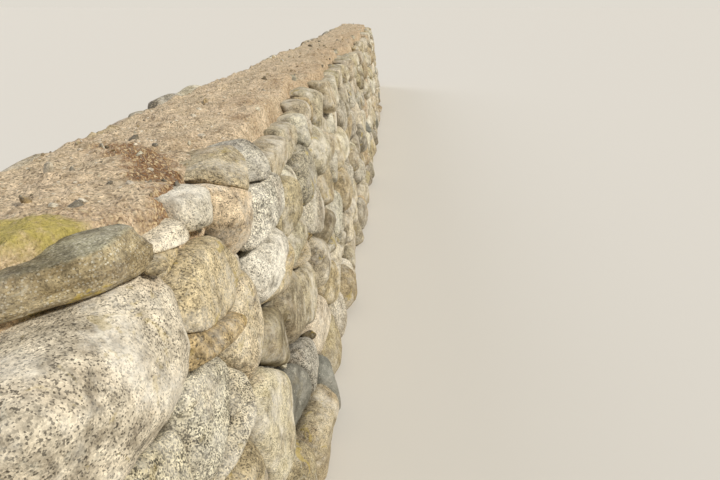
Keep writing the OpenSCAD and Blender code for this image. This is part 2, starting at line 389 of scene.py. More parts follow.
def parted(solid, normal, share):
    """A convex solid cut in two by a plane. The share, from 0 to 1, says how far along the normal the
    cut lies, and its corners lie where the lines between the corners on its two sides cross it."""
    normal = np.array(normal) / np.linalg.norm(normal)
    level = solid["corners"] @ normal
    cut = level.min() + share * (level.max() - level.min())
    behind, ahead = solid["corners"][level < cut], solid["corners"][level >= cut]
    short = (cut - behind @ normal)[:, None]
    part = short / (short + ahead @ normal - cut)
    crossed = (behind[:, None] + part[..., None] * (ahead - behind[:, None])).reshape(-1, 3)
    for own, way in ((behind, normal), (ahead, -normal)):
        corners = np.concatenate([own, crossed])
        middle = (own.mean(axis=0) + crossed.mean(axis=0)) / 2
        away = solid["away"] + solid["normals"] @ (solid["middle"] - middle)
        yield {
            "corners": corners,
            "middle": middle,
            "normals": np.concatenate([solid["normals"], way[None]]),
            "away": np.append(away, (crossed[0] - middle) @ way),
        }


def drawn_look(rng, tones=TONES):
    """A rock, colour and lichen by the tones' shares."""
    shares = np.array([t[2] for t in tones], float)
    rock, colour, _ = tones[rng.choice(len(tones), p=shares / shares.sum())]
    return rock, colour, rng.uniform(0, 1) ** 2


def shared_by(solid, side, rng, shape):
    """The stones that fill the place of one packed stone, with their looks: usually one."""
    chosen = chosen_look(solid["middle"]) if side == FACE else None
    if chosen:
        for row in NEAR_PAIRS:
            if gap_to(row, solid["middle"]) < WITHIN:
                _, _, (along, up), share, forward, *look = row
                behind, ahead = parted(solid, (along, 0, up), share)
                for key in ("corners", "middle"):
                    behind[key] = behind[key] - (0, forward, 0)
                return [(behind, look), (ahead, chosen)]
        return [(solid, chosen)]
    if rng.random() < shape.shared:
        angle = rng.choice([0, math.pi / 2], p=[SIDE_BY_SIDE, 1 - SIDE_BY_SIDE])
        angle += rng.uniform(-CUT_TILT, CUT_TILT)
        pieces = parted(solid, (math.cos(angle), 0, math.sin(angle)), rng.uniform(*CUT_AT))
        return [(piece, drawn_look(rng)) for piece in pieces]
    return [(solid, drawn_look(rng))]


# Each stone takes its noise from a place of its own, up to this far away, and its pattern too.
NOISE_FAR = 500
PATTERN_FAR = 40
# A blocky boulder is this many times squarer, and has this many times the flats.
BLOCKY_POWER = 1.6
BLOCKY_FLATS = 3
# Squarer stones this near the wall's top have a flat top, which faces this way.
TOP_COURSE = 0.06
TOP_WAY = (0, -0.2, 1)
# The part of the lumps that a slab has, and a boulder with a flat face, and how many lumps there are
# across half a boulder.
SLAB_LUMPS = 0.25
FACED_LUMPS = 0.6
LUMPS_ACROSS = 1.5
# How rough blocky boulders and worn ones are, as parts of the relief.
BLOCKY_ROUGH = (1.2, 2.4)
WORN_ROUGH = (0.4, 1.1)
# Sizes of the fine and the coarse relief, and the grid lines that a boulder needs for the fine one.
FINE_RELIEF = 0.05
COARSE_RELIEF = 0.14
FINE_LINES = 28
# A slab's axes with its height first, and its ridges to the metre along them.
UPRIGHT = [2, 0, 1]
RIDGES = (50.0, 3.0, 14.0)
# A stone's top falls between these distances behind its head, and less where it lies level.
TAIL = (0.06, 0.2)
LEVEL_DROP = 0.15
# Soil and painted shade set in between these distances behind a head, where they waver by so much in
# patches of some size, fade as a stone faces up, and set in between these distances from the wall's ends.
SOIL_AND_SHADE_BEHIND = (0.045, 0.115)
SOIL_AND_SHADE_WAVER = 0.02
SOIL_AND_SHADE_PATCH = 0.03
SOIL_AND_SHADE_UPWARD = (0.35, 0.85)
SOIL_AND_SHADE_FROM_END = (0.01, 0.06)
# How high rain splashes soil up from the ground, with painted shade near the ground, and how much of it.
SPLASH_AND_SHADE_TO = 0.34
SPLASH_AND_SHADE = 0.6


def flat_across(shape, direction, share):
    """A plane across a shape at a share of how far it reaches that way: a direction over a distance."""
    return direction / ((shape @ direction).max() * share)


def ragged(distance, inner, outer, at, waver, size, seed):
    """1 nearer than inner and 0 further than outer, with an edge that wavers by layered noise."""
    return 1 - eased(inner, outer, distance + waver * layered(at / size, 3, seed))


def soil_and_shade_on(points, normal, deep, place):
    """How much soil and painted shade lie at each point, from 0 to 1: more the deeper it is behind the
    head, less where the stone faces up or is near an end of the wall, and soil splashed on above the
    ground, which also paints shade near the ground."""
    # Soil in the joints and painted shade: more the deeper a point lies behind the head.
    soil_roots_and_shade = eased(*SOIL_AND_SHADE_BEHIND, deep + SOIL_AND_SHADE_WAVER * noise(points / SOIL_AND_SHADE_PATCH + place))
    soil_roots_and_shade *= 1 - eased(*SOIL_AND_SHADE_UPWARD, normal[:, 2])
    soil_roots_and_shade *= eased(*SOIL_AND_SHADE_FROM_END, np.minimum(points[:, 0] - LOW_END, HIGH_END - points[:, 0]))
    # Splashed soil and painted shade, darker towards the ground.
    splash_and_shade = ragged(points[:, 2], 0.0, SPLASH_AND_SHADE_TO, points, waver=0.12, size=0.2, seed=39)
    return np.maximum(soil_roots_and_shade, SPLASH_AND_SHADE * splash_and_shade)


def boulder(solid, n, rng, shape, head=None, square=1.0):
    """A boulder in the place of a convex solid, squarer than usual by a factor, or a slab if it has
    no head. In the space where the solid is a cube wide, each direction from its middle reaches the
    p-norm of the facets' planes, which rounds the edges, and the whole grows until it touches the
    solid's sides. Then planes cut its outside off flat, by a sharper p-norm, and layered noise raises
    and sinks the surface. Behind its head, which is given as its normal and how far it stands from the
    middle, the top falls, and soil and painted shade lie."""
    way, quads = ball(n)
    middle = solid["middle"]
    half = (solid["corners"].max(axis=0) - solid["corners"].min(axis=0)) / 2
    planes = np.maximum(way @ (solid["normals"] * half / solid["away"][:, None]).T, 0)
    slab = head is None
    blocky = slab or rng.random() < shape.blocky
    power = rng.uniform(shape.roundest, shape.squarest) * (BLOCKY_POWER if blocky else 1) * square
    reach = (planes ** power).sum(axis=1) ** (-1 / power)
    reach *= shape.swell / np.quantile(reach * planes.max(axis=1), shape.touching)

    whole = way * reach[:, None]
    ways = rng.normal(size=(shape.flats * (BLOCKY_FLATS if blocky and not slab else 1), 3))
    flats = [flat_across(whole, direction, rng.uniform(shape.flat_in, 1.0)) for direction in ways]
    faced = not slab and half.max() < shape.faced_under / 2 and rng.random() < shape.faced
    if faced:
        face = head[0] * half / np.linalg.norm(head[0] * half) + rng.normal(size=3) * shape.face_tilt
        flats.append(flat_across(whole, face, rng.uniform(*shape.face_in)))
    if square > 1 and solid["corners"][:, 2].max() > WALL_TOP - TOP_COURSE:
        top = np.array(TOP_WAY) + rng.normal(size=3) * shape.face_tilt
        flats.append(flat_across(whole, top, rng.uniform(*shape.face_in)))
    if slab:
        flats += [flat_across(whole, np.array(direction), share) for *direction, share in SLAB_FLATS]
    cuts = np.maximum(way @ np.array(flats).T, 0) * reach[:, None]
    reach *= (1 + (cuts ** shape.arris).sum(axis=1)) ** (-1 / shape.arris) * 2 ** (0.5 / shape.arris)

    place = rng.uniform(-NOISE_FAR, NOISE_FAR, 3)
    lumps = shape.lumps * (SLAB_LUMPS if slab else FACED_LUMPS if faced else 1)
    reach *= 1 + lumps * layered(way * half / half.mean() * LUMPS_ACROSS + place, 3)
    points = middle + half * way * reach[:, None]
    normal = corner_normals(points, quads)
    fine = min(1, n / FINE_LINES) ** 2 * layered(points / FINE_RELIEF + place, 3, 9)
    coarse = 0.5 * layered(points / COARSE_RELIEF + place, 2, 19)
    rough = shape.relief * rng.uniform(*(BLOCKY_ROUGH if blocky else WORN_ROUGH)) * (fine + coarse)
    if slab:
        rough = rough + shape.strata * layered(points[:, UPRIGHT] * RIDGES + place, 3, 29)
    points += normal * rough[:, None]

    if not slab:
        behind = eased(*TAIL, head[1] - (points - middle) @ head[0])
        level = (solid["normals"][:, 2] * solid["away"] + middle[2] > WALL_TOP - MM).any()
        drop = shape.tail_drop * (LEVEL_DROP if level else 1)
        points[:, 2] -= drop * behind * np.maximum(points[:, 2] - middle[2], 0)
    points[:, 2] = np.maximum(points[:, 2], 0)
    points[:, 0] = np.clip(points[:, 0], LOW_END, HIGH_END)
    own = points - middle
    # Soil and painted shade behind the head, and none on a slab.
    soil_roots_and_shade = np.zeros(len(points)) if slab else soil_and_shade_on(points, normal, head[1] - own @ head[0], place)
    pattern_at = own[:, UPRIGHT] if slab else own @ turn(rng).T
    pattern_at = pattern_at + rng.uniform(-PATTERN_FAR, PATTERN_FAR, 3)
    return {"points": points, "quads": quads, "soil_roots_and_shade": soil_roots_and_shade, "pattern_at": pattern_at}


# How much paler or darker than its tone a stone may be, and how far its colour may drift.
TONE_RANGE = (0.9, 1.08)
TONE_DRIFT = 0.02


def dressed(part, look, rng, materials):
    """Adds a stone's colour, lichen and rock to its mesh."""
    rock, colour, lichen = look
    count = len(part["points"])
    tone = np.array(linear(colour))
    tone[:3] *= rng.uniform(*TONE_RANGE) * (1 + rng.uniform(-TONE_DRIFT, TONE_DRIFT, 3))
    part["tint"] = np.tile(tone, (count, 1))
    part["lichen"] = np.full(count, float(lichen))
    part["rock"] = list(materials).index(rock)
    return part


# How near the eye a stone may count for its detail: on the face, and at the back.
NEAREST = 0.5
NEAREST_BACK = 9.0


def fineness(solid, shape, side=FACE):
    """Grid lines across a boulder: more for a large stone, and on the face for one near the eye."""
    eye = np.array(eye_place())
    span = (solid["corners"].max(axis=0) - solid["corners"].min(axis=0)).max()
    apart = max(np.linalg.norm(solid["middle"] - eye), NEAREST if side == FACE else NEAREST_BACK)
    return int(min(shape.finest, shape.coarsest + shape.near_detail * span / apart))


def boulders(context, kind):
    """One piece of boulders for each bay's node of a kind. Those that the near stones' tables don't
    name are squarer, and stand out or back by chance."""
    wall = context.scene.dry_stone_wall
    materials = rocks()
    for bay in range(1, BAYS + 1):
        node = f"bay_{bay}_{kind}"
        parts = []
        for number, (solid, side) in enumerate(sides_of(node)):
            rng = np.random.default_rng([bay, len(kind), ord(kind[0]), number])
            normal, away = head_of(solid, side)
            stones = shared_by(solid, side, rng, wall)
            for stone, look in stones:
                head = normal, away + normal @ (solid["middle"] - stone["middle"])
                square = 1.0
                if side == BACK or not chosen_look(solid["middle"]):
                    square = wall.squarer / len(stones) ** 0.5
                    out = normal * rng.uniform(-1, 1) * wall.uneven
                    stone = {**stone, "middle": stone["middle"] + out, "corners": stone["corners"] + out}
                part = boulder(stone, fineness(stone, wall, side), rng, wall, head, square)
                parts.append(dressed(part, look, rng, materials))
        piece = new_piece(f"bay_{bay}_{kind}_boulders", joined(parts), materials.values())
        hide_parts(node)


@functools.cache
def slab_axes(bay):
    """The middle of a bay's slab in plan, unit ways along it and towards the back, and how far it
    reaches along itself from its middle."""
    solid, = solids_of(f"bay_{bay}_edge_slab")
    plan = (solid["corners"] - solid["middle"])[:, :2]
    axis = np.linalg.svd(plan, full_matrices=False)[2][0]
    axis = axis if axis[0] > 0 else -axis
    return solid["middle"][:2], axis, np.array([-axis[1], axis[0]]), abs(plan @ axis).max()


# The part that is left of a slab's width on its back side, how much narrower it is at its tail, how
# far its tail lies towards the back, and how far its nose is drawn out.
SLAB_BACK = 0.74
SLAB_NARROWER = 0.3
SLAB_ASIDE = 0.05
SLAB_NOSE = 0.062
# A slab's thickness at its nose, how much thinner it is at its tail, and the power that keeps its
# widest outline low.
SLAB_HIGH = 1.06
SLAB_THINNER = 0.42
SLAB_LOW = 1.5
# Colours of the first slab and of the others, and the grey that they take the more they face up: weather,
# and painted shade that sets the top facet apart from the front. Their yellow lichen fades between these
# heights above the bed.
SLAB_TONES = ("#c4b690", "#d2c9b0")
SLAB_TOP_GREY_AND_SHADE = "#b5b096"
SLAB_UPWARD = (0.7, 0.9)
SLAB_LICHEN = (0.012, 0.034)


def slabs(context):
    """The flat slabs on the edge: long boulders whose beds lie level, narrower, thinner and further
    back at their tails than at their noses, greyed on top by weather and painted shade, and with yellow
    lichen low down."""
    wall = context.scene.dry_stone_wall
    materials = rocks()
    for bay in range(1, BAYS + 1):
        node = f"bay_{bay}_edge_slab"
        solid, = solids_of(node)
        rng = np.random.default_rng([bay, 77])
        look = "worn_schist", SLAB_TONES[bay > 1], 0.0
        part = dressed(boulder(solid, fineness(solid, wall), rng, wall), look, rng, materials)
        points = part["points"]
        middle, axis, out, long = slab_axes(bay)
        along = (points[:, :2] - middle) @ axis
        behind = (points[:, :2] - middle) @ out
        behind = np.where(behind > 0, SLAB_BACK * behind, behind)
        tail = np.clip(0.5 - along / long / 2, 0, 1)
        behind = behind * (1 - SLAB_NARROWER * tail) + SLAB_ASIDE * tail
        along = along + SLAB_NOSE * (1 - tail) ** 2
        points[:, :2] = middle + along[:, None] * axis + behind[:, None] * out
        thick = solid["corners"][:, 2].max() - WALL_TOP
        rise = np.maximum((points[:, 2] - WALL_TOP) / thick, 0) ** SLAB_LOW
        points[:, 2] = WALL_TOP + thick * rise * SLAB_THICK[bay > 1] * (SLAB_HIGH - SLAB_THINNER * tail)
        above = points[:, 2] - WALL_TOP
        part["lichen"] = ragged(above, *SLAB_LICHEN, points, waver=0.012, size=0.07, seed=49)
        # Grey of weather and painted shade on the top facet, the more a point faces up.
        upward = eased(*SLAB_UPWARD, corner_normals(points, part["quads"])[:, 2])[:, None]
        part["tint"] = part["tint"] * (1 - upward) + np.array(linear(SLAB_TOP_GREY_AND_SHADE)) * upward
        piece = new_piece(node + "_boulder", joined([part]), materials.values())
        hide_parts(node)


# Small stones

# A broken stone's planes: how many, how near its middle they may lie, and the powers that round its
# edges. Where no plane faces, it reaches out as far as the least sum lets it.
CHIP_PLANES = 11
CHIP_IN = (0.62, 1)
CHIP_EDGES = (6, 12)
CHIP_ROUND = 9
CHIP_LEAST = 0.3
# How uneven a broken stone is, the size of its lumps, how far away its noise may come from, and the
# soil on it.
CHIP_LUMPS = 0.12
CHIP_LUMPS_ACROSS = 1.6
CHIP_FAR = 90
CHIP_SOIL = (0, 0.35)


def chip(middle, half, n, rng, turned=True):
    """A broken small stone: the p-norm of planes in random directions, uneven by noise, and turned
    at random unless it has to lie as it is."""
    way, quads = ball(n)
    planes = rng.normal(size=(CHIP_PLANES, 3))
    planes /= np.linalg.norm(planes, axis=1, keepdims=True) * rng.uniform(*CHIP_IN, (CHIP_PLANES, 1))
    reach = (np.maximum(way @ planes.T, 0) ** rng.uniform(*CHIP_EDGES)).sum(axis=1)
    reach = np.maximum(reach, CHIP_LEAST) ** (-1 / CHIP_ROUND)
    reach *= 1 + CHIP_LUMPS * layered(way * CHIP_LUMPS_ACROSS + rng.uniform(-CHIP_FAR, CHIP_FAR, 3), 2)
    shape = (way * reach[:, None] / reach.max()) * half
    points = middle + (shape @ turn(rng).T if turned else shape)
    return {
        "points": points,
        "quads": quads,
        "soil_roots_and_shade": np.full(len(points), rng.uniform(*CHIP_SOIL)),
        "pattern_at": shape + rng.uniform(-PATTERN_FAR, PATTERN_FAR, 3),
    }


# Corners of outlines meet within this distance, and those of one outline lie this near its plane.
MEETING = 0.05
IN_PLANE = 2 * MM


def holes(side, kinds):
    """Places in the wall's side where the widest outlines of several stones meet, with the outward
    normal there. A stone's outlines lie in planes along its head, and the widest is the last but one."""
    corners, normals = [], []
    for bay in range(1, BAYS + 1):
        for kind in kinds:
            for solid, own_side in sides_of(f"bay_{bay}_{kind}"):
                if own_side != side:
                    continue
                normal, away = head_of(solid, side)
                deep = away - (solid["corners"] - solid["middle"]) @ normal
                order = np.sort(deep)
                widest = order[:-1][np.diff(order) > IN_PLANE][-1]
                ring = solid["corners"][abs(deep - widest) < IN_PLANE]
                corners.append(ring)
                normals.append(np.tile(normal, (len(ring), 1)))
    corners, normals = np.concatenate(corners), np.concatenate(normals)
    left = np.ones(len(corners), bool)
    found = []
    for k in range(len(corners)):
        if left[k]:
            near = left & (np.linalg.norm(corners - corners[k], axis=1) < MEETING)
            left &= ~near
            if near.sum() > 1:
                found.append((corners[near].mean(axis=0), normals[near].mean(axis=0)))
    return found


# Pinning stones keep this far from the ground and the top. Their sizes and how deep they sit are
# parts of the usual size, and those on the face near the low end have more grid lines.
PIN_CLEAR = 0.05
PIN_RANGE = (0.7, 1.35)
PIN_LONG = 1.5
PIN_FLAT = (0.6, 1)
PIN_DEEP = (0.2, 0.9)
PIN_LINES = 3
PIN_NEAR = 3.0
PIN_NEAR_LINES = 4


def pinning_stones(context):
    """Small stones wedged into the holes between the boulders, one piece for each side."""
    packing = context.scene.dry_stone_packing
    materials = rocks()
    for side, kinds, name in (
        (FACE, ("footing_stones", "face_stones", "edge_stones"), "face_pinning_stones"),
        (BACK, ("footing_stones", "back_stones"), "back_pinning_stones"),
    ):
        parts = []
        rng = np.random.default_rng([5, side + 1])
        for place, normal in holes(side, kinds):
            if rng.random() < packing.pinned and PIN_CLEAR < place[2] < WALL_TOP - PIN_CLEAR:
                size = packing.pin_size * rng.uniform(*PIN_RANGE)
                half = size * np.array([PIN_LONG, 1.0, rng.uniform(*PIN_FLAT)])
                middle = place - normal * rng.uniform(*PIN_DEEP) * packing.pin_size
                middle[0] = np.clip(middle[0], LOW_END + half.max(), HIGH_END - half.max())
                look = drawn_look(rng, SMALL_TONES)
                near = side == FACE and middle[0] < LOW_END + PIN_NEAR
                part = chip(middle, half, PIN_NEAR_LINES if near else PIN_LINES, rng)
                parts.append(dressed(part, look, rng, materials))
        piece = new_piece(name, joined(parts), materials.values())


# Courses of rubble and the stones in them, as parts of the rubble's size: how far up the first course
# and how far past the top the last may lie, the height of a course, where a course begins and ends,
# how far apart its stones are, how far in from the end, and how far they are out of line.
COURSE_FIRST = 0.4
COURSE_LAST = 0.3
COURSE_HEIGHT = 0.72
COURSE_BEGINS = (0.1, 0.6)
COURSE_ENDS = 0.5
RUBBLE_APART = 0.9
RUBBLE_IN = (0.5, 1.0)
RUBBLE_ASTRAY = 0.16
# A rubble stone's range of sizes, its half depth, half width and half height as parts of that, its
# grid lines, and how much more soil lies on it than on other broken stones.
RUBBLE_RANGE = (0.8, 1.2)
RUBBLE_DEPTH = 0.7
RUBBLE_WIDTH = (0.5, 0.72)
RUBBLE_HEIGHT = (0.34, 0.5)
RUBBLE_LINES = 5
RUBBLE_SOIL = 0.3
# The core behind the rubble: how far it is set back, its grid lines, how square it is, its colour.
CORE_IN = 0.9
CORE_LINES = 12
CORE_SQUARE = 40
CORE_TONE = "#6b5a42"


def end_rubble(context):
    """The packing that shows at the plain ends: broken stones on a core that is set back, in the
    place of the first and last bays' packing."""
    packing = context.scene.dry_stone_packing
    materials = rocks()
    step = packing.rubble_size
    for bay, end, inward in ((1, LOW_END, 1), (BAYS, HIGH_END, -1)):
        node = f"bay_{bay}_hearting"
        solid, = solids_of(node)
        rng = np.random.default_rng([11, bay])
        at_end = solid["corners"][abs(solid["corners"][:, 0] - end) < MM]
        low, high = at_end.min(axis=0), at_end.max(axis=0)
        front = at_end[at_end[:, 2] > high[2] - MM][:, 1].min() - low[1]
        parts = []
        first, last = low[2] + COURSE_FIRST * step, high[2] + COURSE_LAST * step
        for z in np.arange(first, last, COURSE_HEIGHT * step):
            start = low[1] + front * z / high[2] - step * rng.uniform(*COURSE_BEGINS)
            for y in np.arange(start, high[1] + COURSE_ENDS * step, RUBBLE_APART * step):
                middle = np.array([end + inward * step * rng.uniform(*RUBBLE_IN), y, z])
                middle[1:] += rng.uniform(-RUBBLE_ASTRAY, RUBBLE_ASTRAY, 2) * step
                size = step * rng.uniform(*RUBBLE_RANGE)
                wide, high_up = rng.uniform(*RUBBLE_WIDTH), rng.uniform(*RUBBLE_HEIGHT)
                part = chip(middle, size * np.array([RUBBLE_DEPTH, wide, high_up]), RUBBLE_LINES, rng)
                part["soil_roots_and_shade"] += RUBBLE_SOIL
                over = (part["points"][:, 0] - end) * inward
                part["points"][:, 0] -= inward * min(over.min(), 0)
                part["points"][:, 2] = np.maximum(part["points"][:, 2], 0)
                parts.append(dressed(part, drawn_look(rng, SMALL_TONES), rng, materials))
        core, quads = ball(CORE_LINES)
        half = (solid["corners"].max(axis=0) - solid["corners"].min(axis=0)) / 2
        planes = solid["normals"] * half / solid["away"][:, None]
        reach = (np.maximum(core @ planes.T, 0) ** CORE_SQUARE).sum(axis=1) ** (-1 / CORE_SQUARE)
        points = solid["middle"] + half * core * reach[:, None]
        further_in = np.maximum if inward > 0 else np.minimum
        points[:, 0] = further_in(points[:, 0], end + inward * CORE_IN * step)
        # Full soil lays the near-black painted shade of the deepest joints over the core.
        part = {"points": points, "quads": quads, "soil_roots_and_shade": np.ones(len(points)), "pattern_at": points}
        parts.append(dressed(part, ("gritty_granite", CORE_TONE, 0.0), rng, materials))
        piece = new_piece(f"bay_{bay}_end_rubble", joined(parts), materials.values())
        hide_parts(node)
    hidden = rubble_material()
    for bay in range(2, BAYS):
        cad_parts[f"bay_{bay}_hearting"].data.materials.clear()
        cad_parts[f"bay_{bay}_hearting"].data.materials.append(hidden)


# Earth

# How the front lip wanders: the size of each layer of noise, its strength and its seed, and the part
# of the lap that they move it by.
LIP_NOISE = ((0.45, 1.0, 71), (0.13, 0.6, 72))
LIP_WANDER = 0.2
# How far the earth's middle is domed, and how a bank behind a slab fades: how far behind the slab's
# middle line it begins and is full, how far back it reaches, and how far along the slab.
DOME = 0.01
BANK_BEGINS = (-0.05, 0.02)
BANK_BACK = 0.3
BANK_ALONG = 1.05
# About the part of the earth's width that the heap takes up.
HEAP_ACROSS = 0.4
# Unevenness from hollows down to gravel: humps to the metre, and their height. It sets in, and the
# earth deepens, between these parts of its width from the lips.
EARTH_HUMPS = ((6, 0.012), (17, 0.008), (45, 0.0062), (105, 0.0035))
UNEVEN_IN = (0.0, 0.06)
DEEPER_IN = (0.05, 0.3)
# Columns of the crust's grid: the part that are evenly spread, and the power that crowds the others
# towards the low end.
EVEN_COLUMNS = 0.24
CROWDED = 3.2
# Colour of the sand, and about how wide the earth is.
SAND = "#e2ccad"
EARTH_WIDTH = 0.8
# Thin roots fade between these distances from the front lip, and thin moss sets in. Both are
# scattered by layered noise: the values where they set in and are full, the size of the patches and
# the noise's seed. Each covers the ground by its share at most.
ROOTS_FRINGE = (0.16, 0.42)
MOSS_FROM_LIP = (0.5, 0.9)
ROOTS_SCATTER = (-0.25, 0.05, 0.3, 41)
MOSS_SCATTER = (0.08, 0.42, 0.22, 51)
THIN_ROOTS = 0.3
THIN_MOSS = 0.5
# How far the patch of moss reaches in full and at most from its middle, and the band of roots from
# its line, which is this many times longer than it is wide.
MOSS_REACH = (0.09, 0.15)
ROOTS_REACH = (0.035, 0.085)
ROOTS_LONG = 5


@functools.cache
def earth_edges():
    """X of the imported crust's rings, and Y of its front and back edges there."""
    corners = np.concatenate([solids_of(f"bay_{b}_earth_crust")[0]["corners"] for b in range(1, BAYS + 1)])
    x = np.unique(corners[:, 0].round(3))
    rings = [corners[abs(corners[:, 0] - place) < MM] for place in x]
    return x, np.array([r[:, 1].min() for r in rings]), np.array([r[:, 1].max() for r in rings])


def near_by(x, place):
    """1 at a place along the wall that falls to 0 on both sides, by a bell curve."""
    return np.exp(-((x - LOW_END - place[0]) / place[1]) ** 2)


def from_lips(across, begins, full):
    """0 at the two lips and 1 between them, with a rise that begins and is full at parts of the
    width."""
    return eased(begins, full, across) * (1 - eased(1 - full, 1 - begins, across))


def earth_y(x, across, earth):
    """Y on the crust: across runs from 0 at its front lip to 1 at its back lip."""
    at, front, back = earth_edges()
    on_line = np.stack([x, 0 * x, 0 * x], -1)
    wander = sum(strength * noise(on_line / size, seed) for size, strength, seed in LIP_NOISE)
    low = np.interp(x, at, front) - earth.lap * (1 + LIP_WANDER * wander)
    low = low - HEAP[2] * near_by(x, HEAP) + HOLLOW[2] * near_by(x, HOLLOW)
    return low + across * (np.interp(x, at, back) + earth.lap_back - low)


def earth_z(x, y, across, earth):
    """Height of the crust: it rises from its lips to a low crown, banks up behind the slabs, and is
    uneven by layers of noise from hollows down to gravel."""
    rise = from_lips(across, 0.0, earth.slope)
    z = WALL_TOP - earth.drop + (earth.drop + earth.crown) * rise + DOME * np.sin(math.pi * across)
    for bay in range(1, BAYS + 1):
        middle, axis, out, long = slab_axes(bay)
        along = ((x - middle[0]) * axis[0] + (y - middle[1]) * axis[1]) / long
        behind = (x - middle[0]) * out[0] + (y - middle[1]) * out[1]
        thick = (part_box(f"bay_{bay}_edge_slab")[1].z - WALL_TOP) * SLAB_THICK[bay > 1]
        bank = eased(*BANK_BEGINS, behind) * np.exp(-(behind / BANK_BACK) ** 2)
        bank *= np.exp(-(along / BANK_ALONG) ** 4)
        z = z + earth.bank * thick * bank
    z = z + HEAP_HEIGHT * near_by(x, HEAP) * rise * np.exp(-(across / HEAP_ACROSS) ** 2)
    at = np.stack([x, y, np.zeros_like(x)], -1)
    uneven = sum(high * noise(at * humps, k) for k, (humps, high) in enumerate(EARTH_HUMPS, 1))
    return z + from_lips(across, *UNEVEN_IN) * uneven


def scattered(points, begins, full, size, seed):
    """0 where layered noise is less than one value, and 1 where it is more than the other."""
    return eased(begins, full, layered(points / size, 4, seed))


def moss_and_roots(points, front):
    """How much moss and how many dry roots lie at each point, from 0 to 1: thin ones by noise, roots
    by the front lip and moss away from it, and besides them a round patch of moss and a bent band of
    roots by the low end."""
    roots = ragged(front, *ROOTS_FRINGE, points, waver=0.12, size=0.16, seed=31)
    roots *= scattered(points, *ROOTS_SCATTER)
    moss = scattered(points, *MOSS_SCATTER) * eased(*MOSS_FROM_LIP, front)
    to_moss = np.hypot(points[:, 0] - LOW_END - MOSS_AT[0], points[:, 1] - MOSS_AT[1])
    patch = ragged(to_moss, *MOSS_REACH, points, waver=0.06, size=0.09, seed=61)
    dx, dy = points[:, 0] - LOW_END - ROOTS_AT[0], points[:, 1] - ROOTS_AT[1]
    along = dx * math.cos(ROOTS_TURN) + dy * math.sin(ROOTS_TURN)
    aside = dy * math.cos(ROOTS_TURN) - dx * math.sin(ROOTS_TURN) - ROOTS_BEND * along ** 2
    to_roots = np.hypot(along / ROOTS_LONG, aside)
    band = ragged(to_roots, *ROOTS_REACH, points, waver=0.06, size=0.08, seed=81)
    return np.maximum(THIN_MOSS * moss, patch), np.maximum(THIN_ROOTS * roots, band)


def earth_crust(context):
    """One crust of gravelly earth over the whole run: a sheet of two parameters, along and across,
    whose underside lies on the packing and whose lips lap over the stones' tails."""
    earth = context.scene.dry_stone_earth
    steps = np.linspace(0, 1, earth.fine_along)
    x = LOW_END + (HIGH_END - LOW_END) * (EVEN_COLUMNS * steps + (1 - EVEN_COLUMNS) * steps ** CROWDED)
    grid_x, grid_v = np.meshgrid(x, np.linspace(0, 1, earth.fine_across), indexing="ij")
    top_x, top_v = grid_x.ravel(), grid_v.ravel()
    y = earth_y(top_x, top_v, earth)
    top = np.stack([top_x, y, earth_z(top_x, y, top_v, earth)], -1)
    thick = earth.lip + from_lips(top_v, *DEEPER_IN) * earth.depth
    under = top - np.stack([0 * thick, 0 * thick, thick], -1)
    count = grid_x.size
    number = np.arange(count).reshape(grid_x.shape)
    sheet = np.stack([number[:-1, :-1], number[1:, :-1], number[1:, 1:], number[:-1, 1:]], -1).reshape(-1, 4)
    rim = np.concatenate([number[:-1, 0], number[-1, :-1], number[:0:-1, -1], number[0, :0:-1]])
    after = np.roll(rim, -1)
    sides = np.stack([rim, rim + count, after + count, after], -1)
    quads = np.concatenate([sheet, sheet[:, ::-1] + count, sides])
    points = np.concatenate([top, under])
    moss, roots = moss_and_roots(points, EARTH_WIDTH * np.concatenate([top_v, top_v]))
    part = {
        "points": points, "quads": quads, "soil_roots_and_shade": roots, "lichen": moss, "pattern_at": points,
        "tint": np.tile(linear(SAND), (len(points), 1)), "rock": 0}
    piece = new_piece("earth_crust", joined([part]), [earth_material()])
    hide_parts(*(f"bay_{b}_earth_crust" for b in range(1, BAYS + 1)))


# Pebbles keep this far from the ends and lie between these parts of the earth's width. The power
# crowds them towards the low end.
PEBBLE_CLEAR = 0.03
PEBBLE_ACROSS = (0.06, 0.94)
PEBBLE_CROWDED = 1.6
# How much the pebbles' sizes differ, a pebble's half length, half width, half height and how deep it
# sits as parts of its size, and how much of a broken stone's soil lies on it.
PEBBLE_SPREAD = 0.45
PEBBLE_LONG = 1.2
PEBBLE_WIDE = (0.7, 1)
PEBBLE_HIGH = (0.5, 0.8)
PEBBLE_SUNK = 0.15
PEBBLE_SOIL = 0.5
# How far from the low end pebbles have more grid lines, and the grid lines there, further on, and of
# the flake and the pebbles that stand out.
PEBBLE_NEAR = 2.2
PEBBLE_NEAR_LINES = 4
PEBBLE_LINES = 2
FLAKE_LINES = 8
CHOSEN_LINES = 7


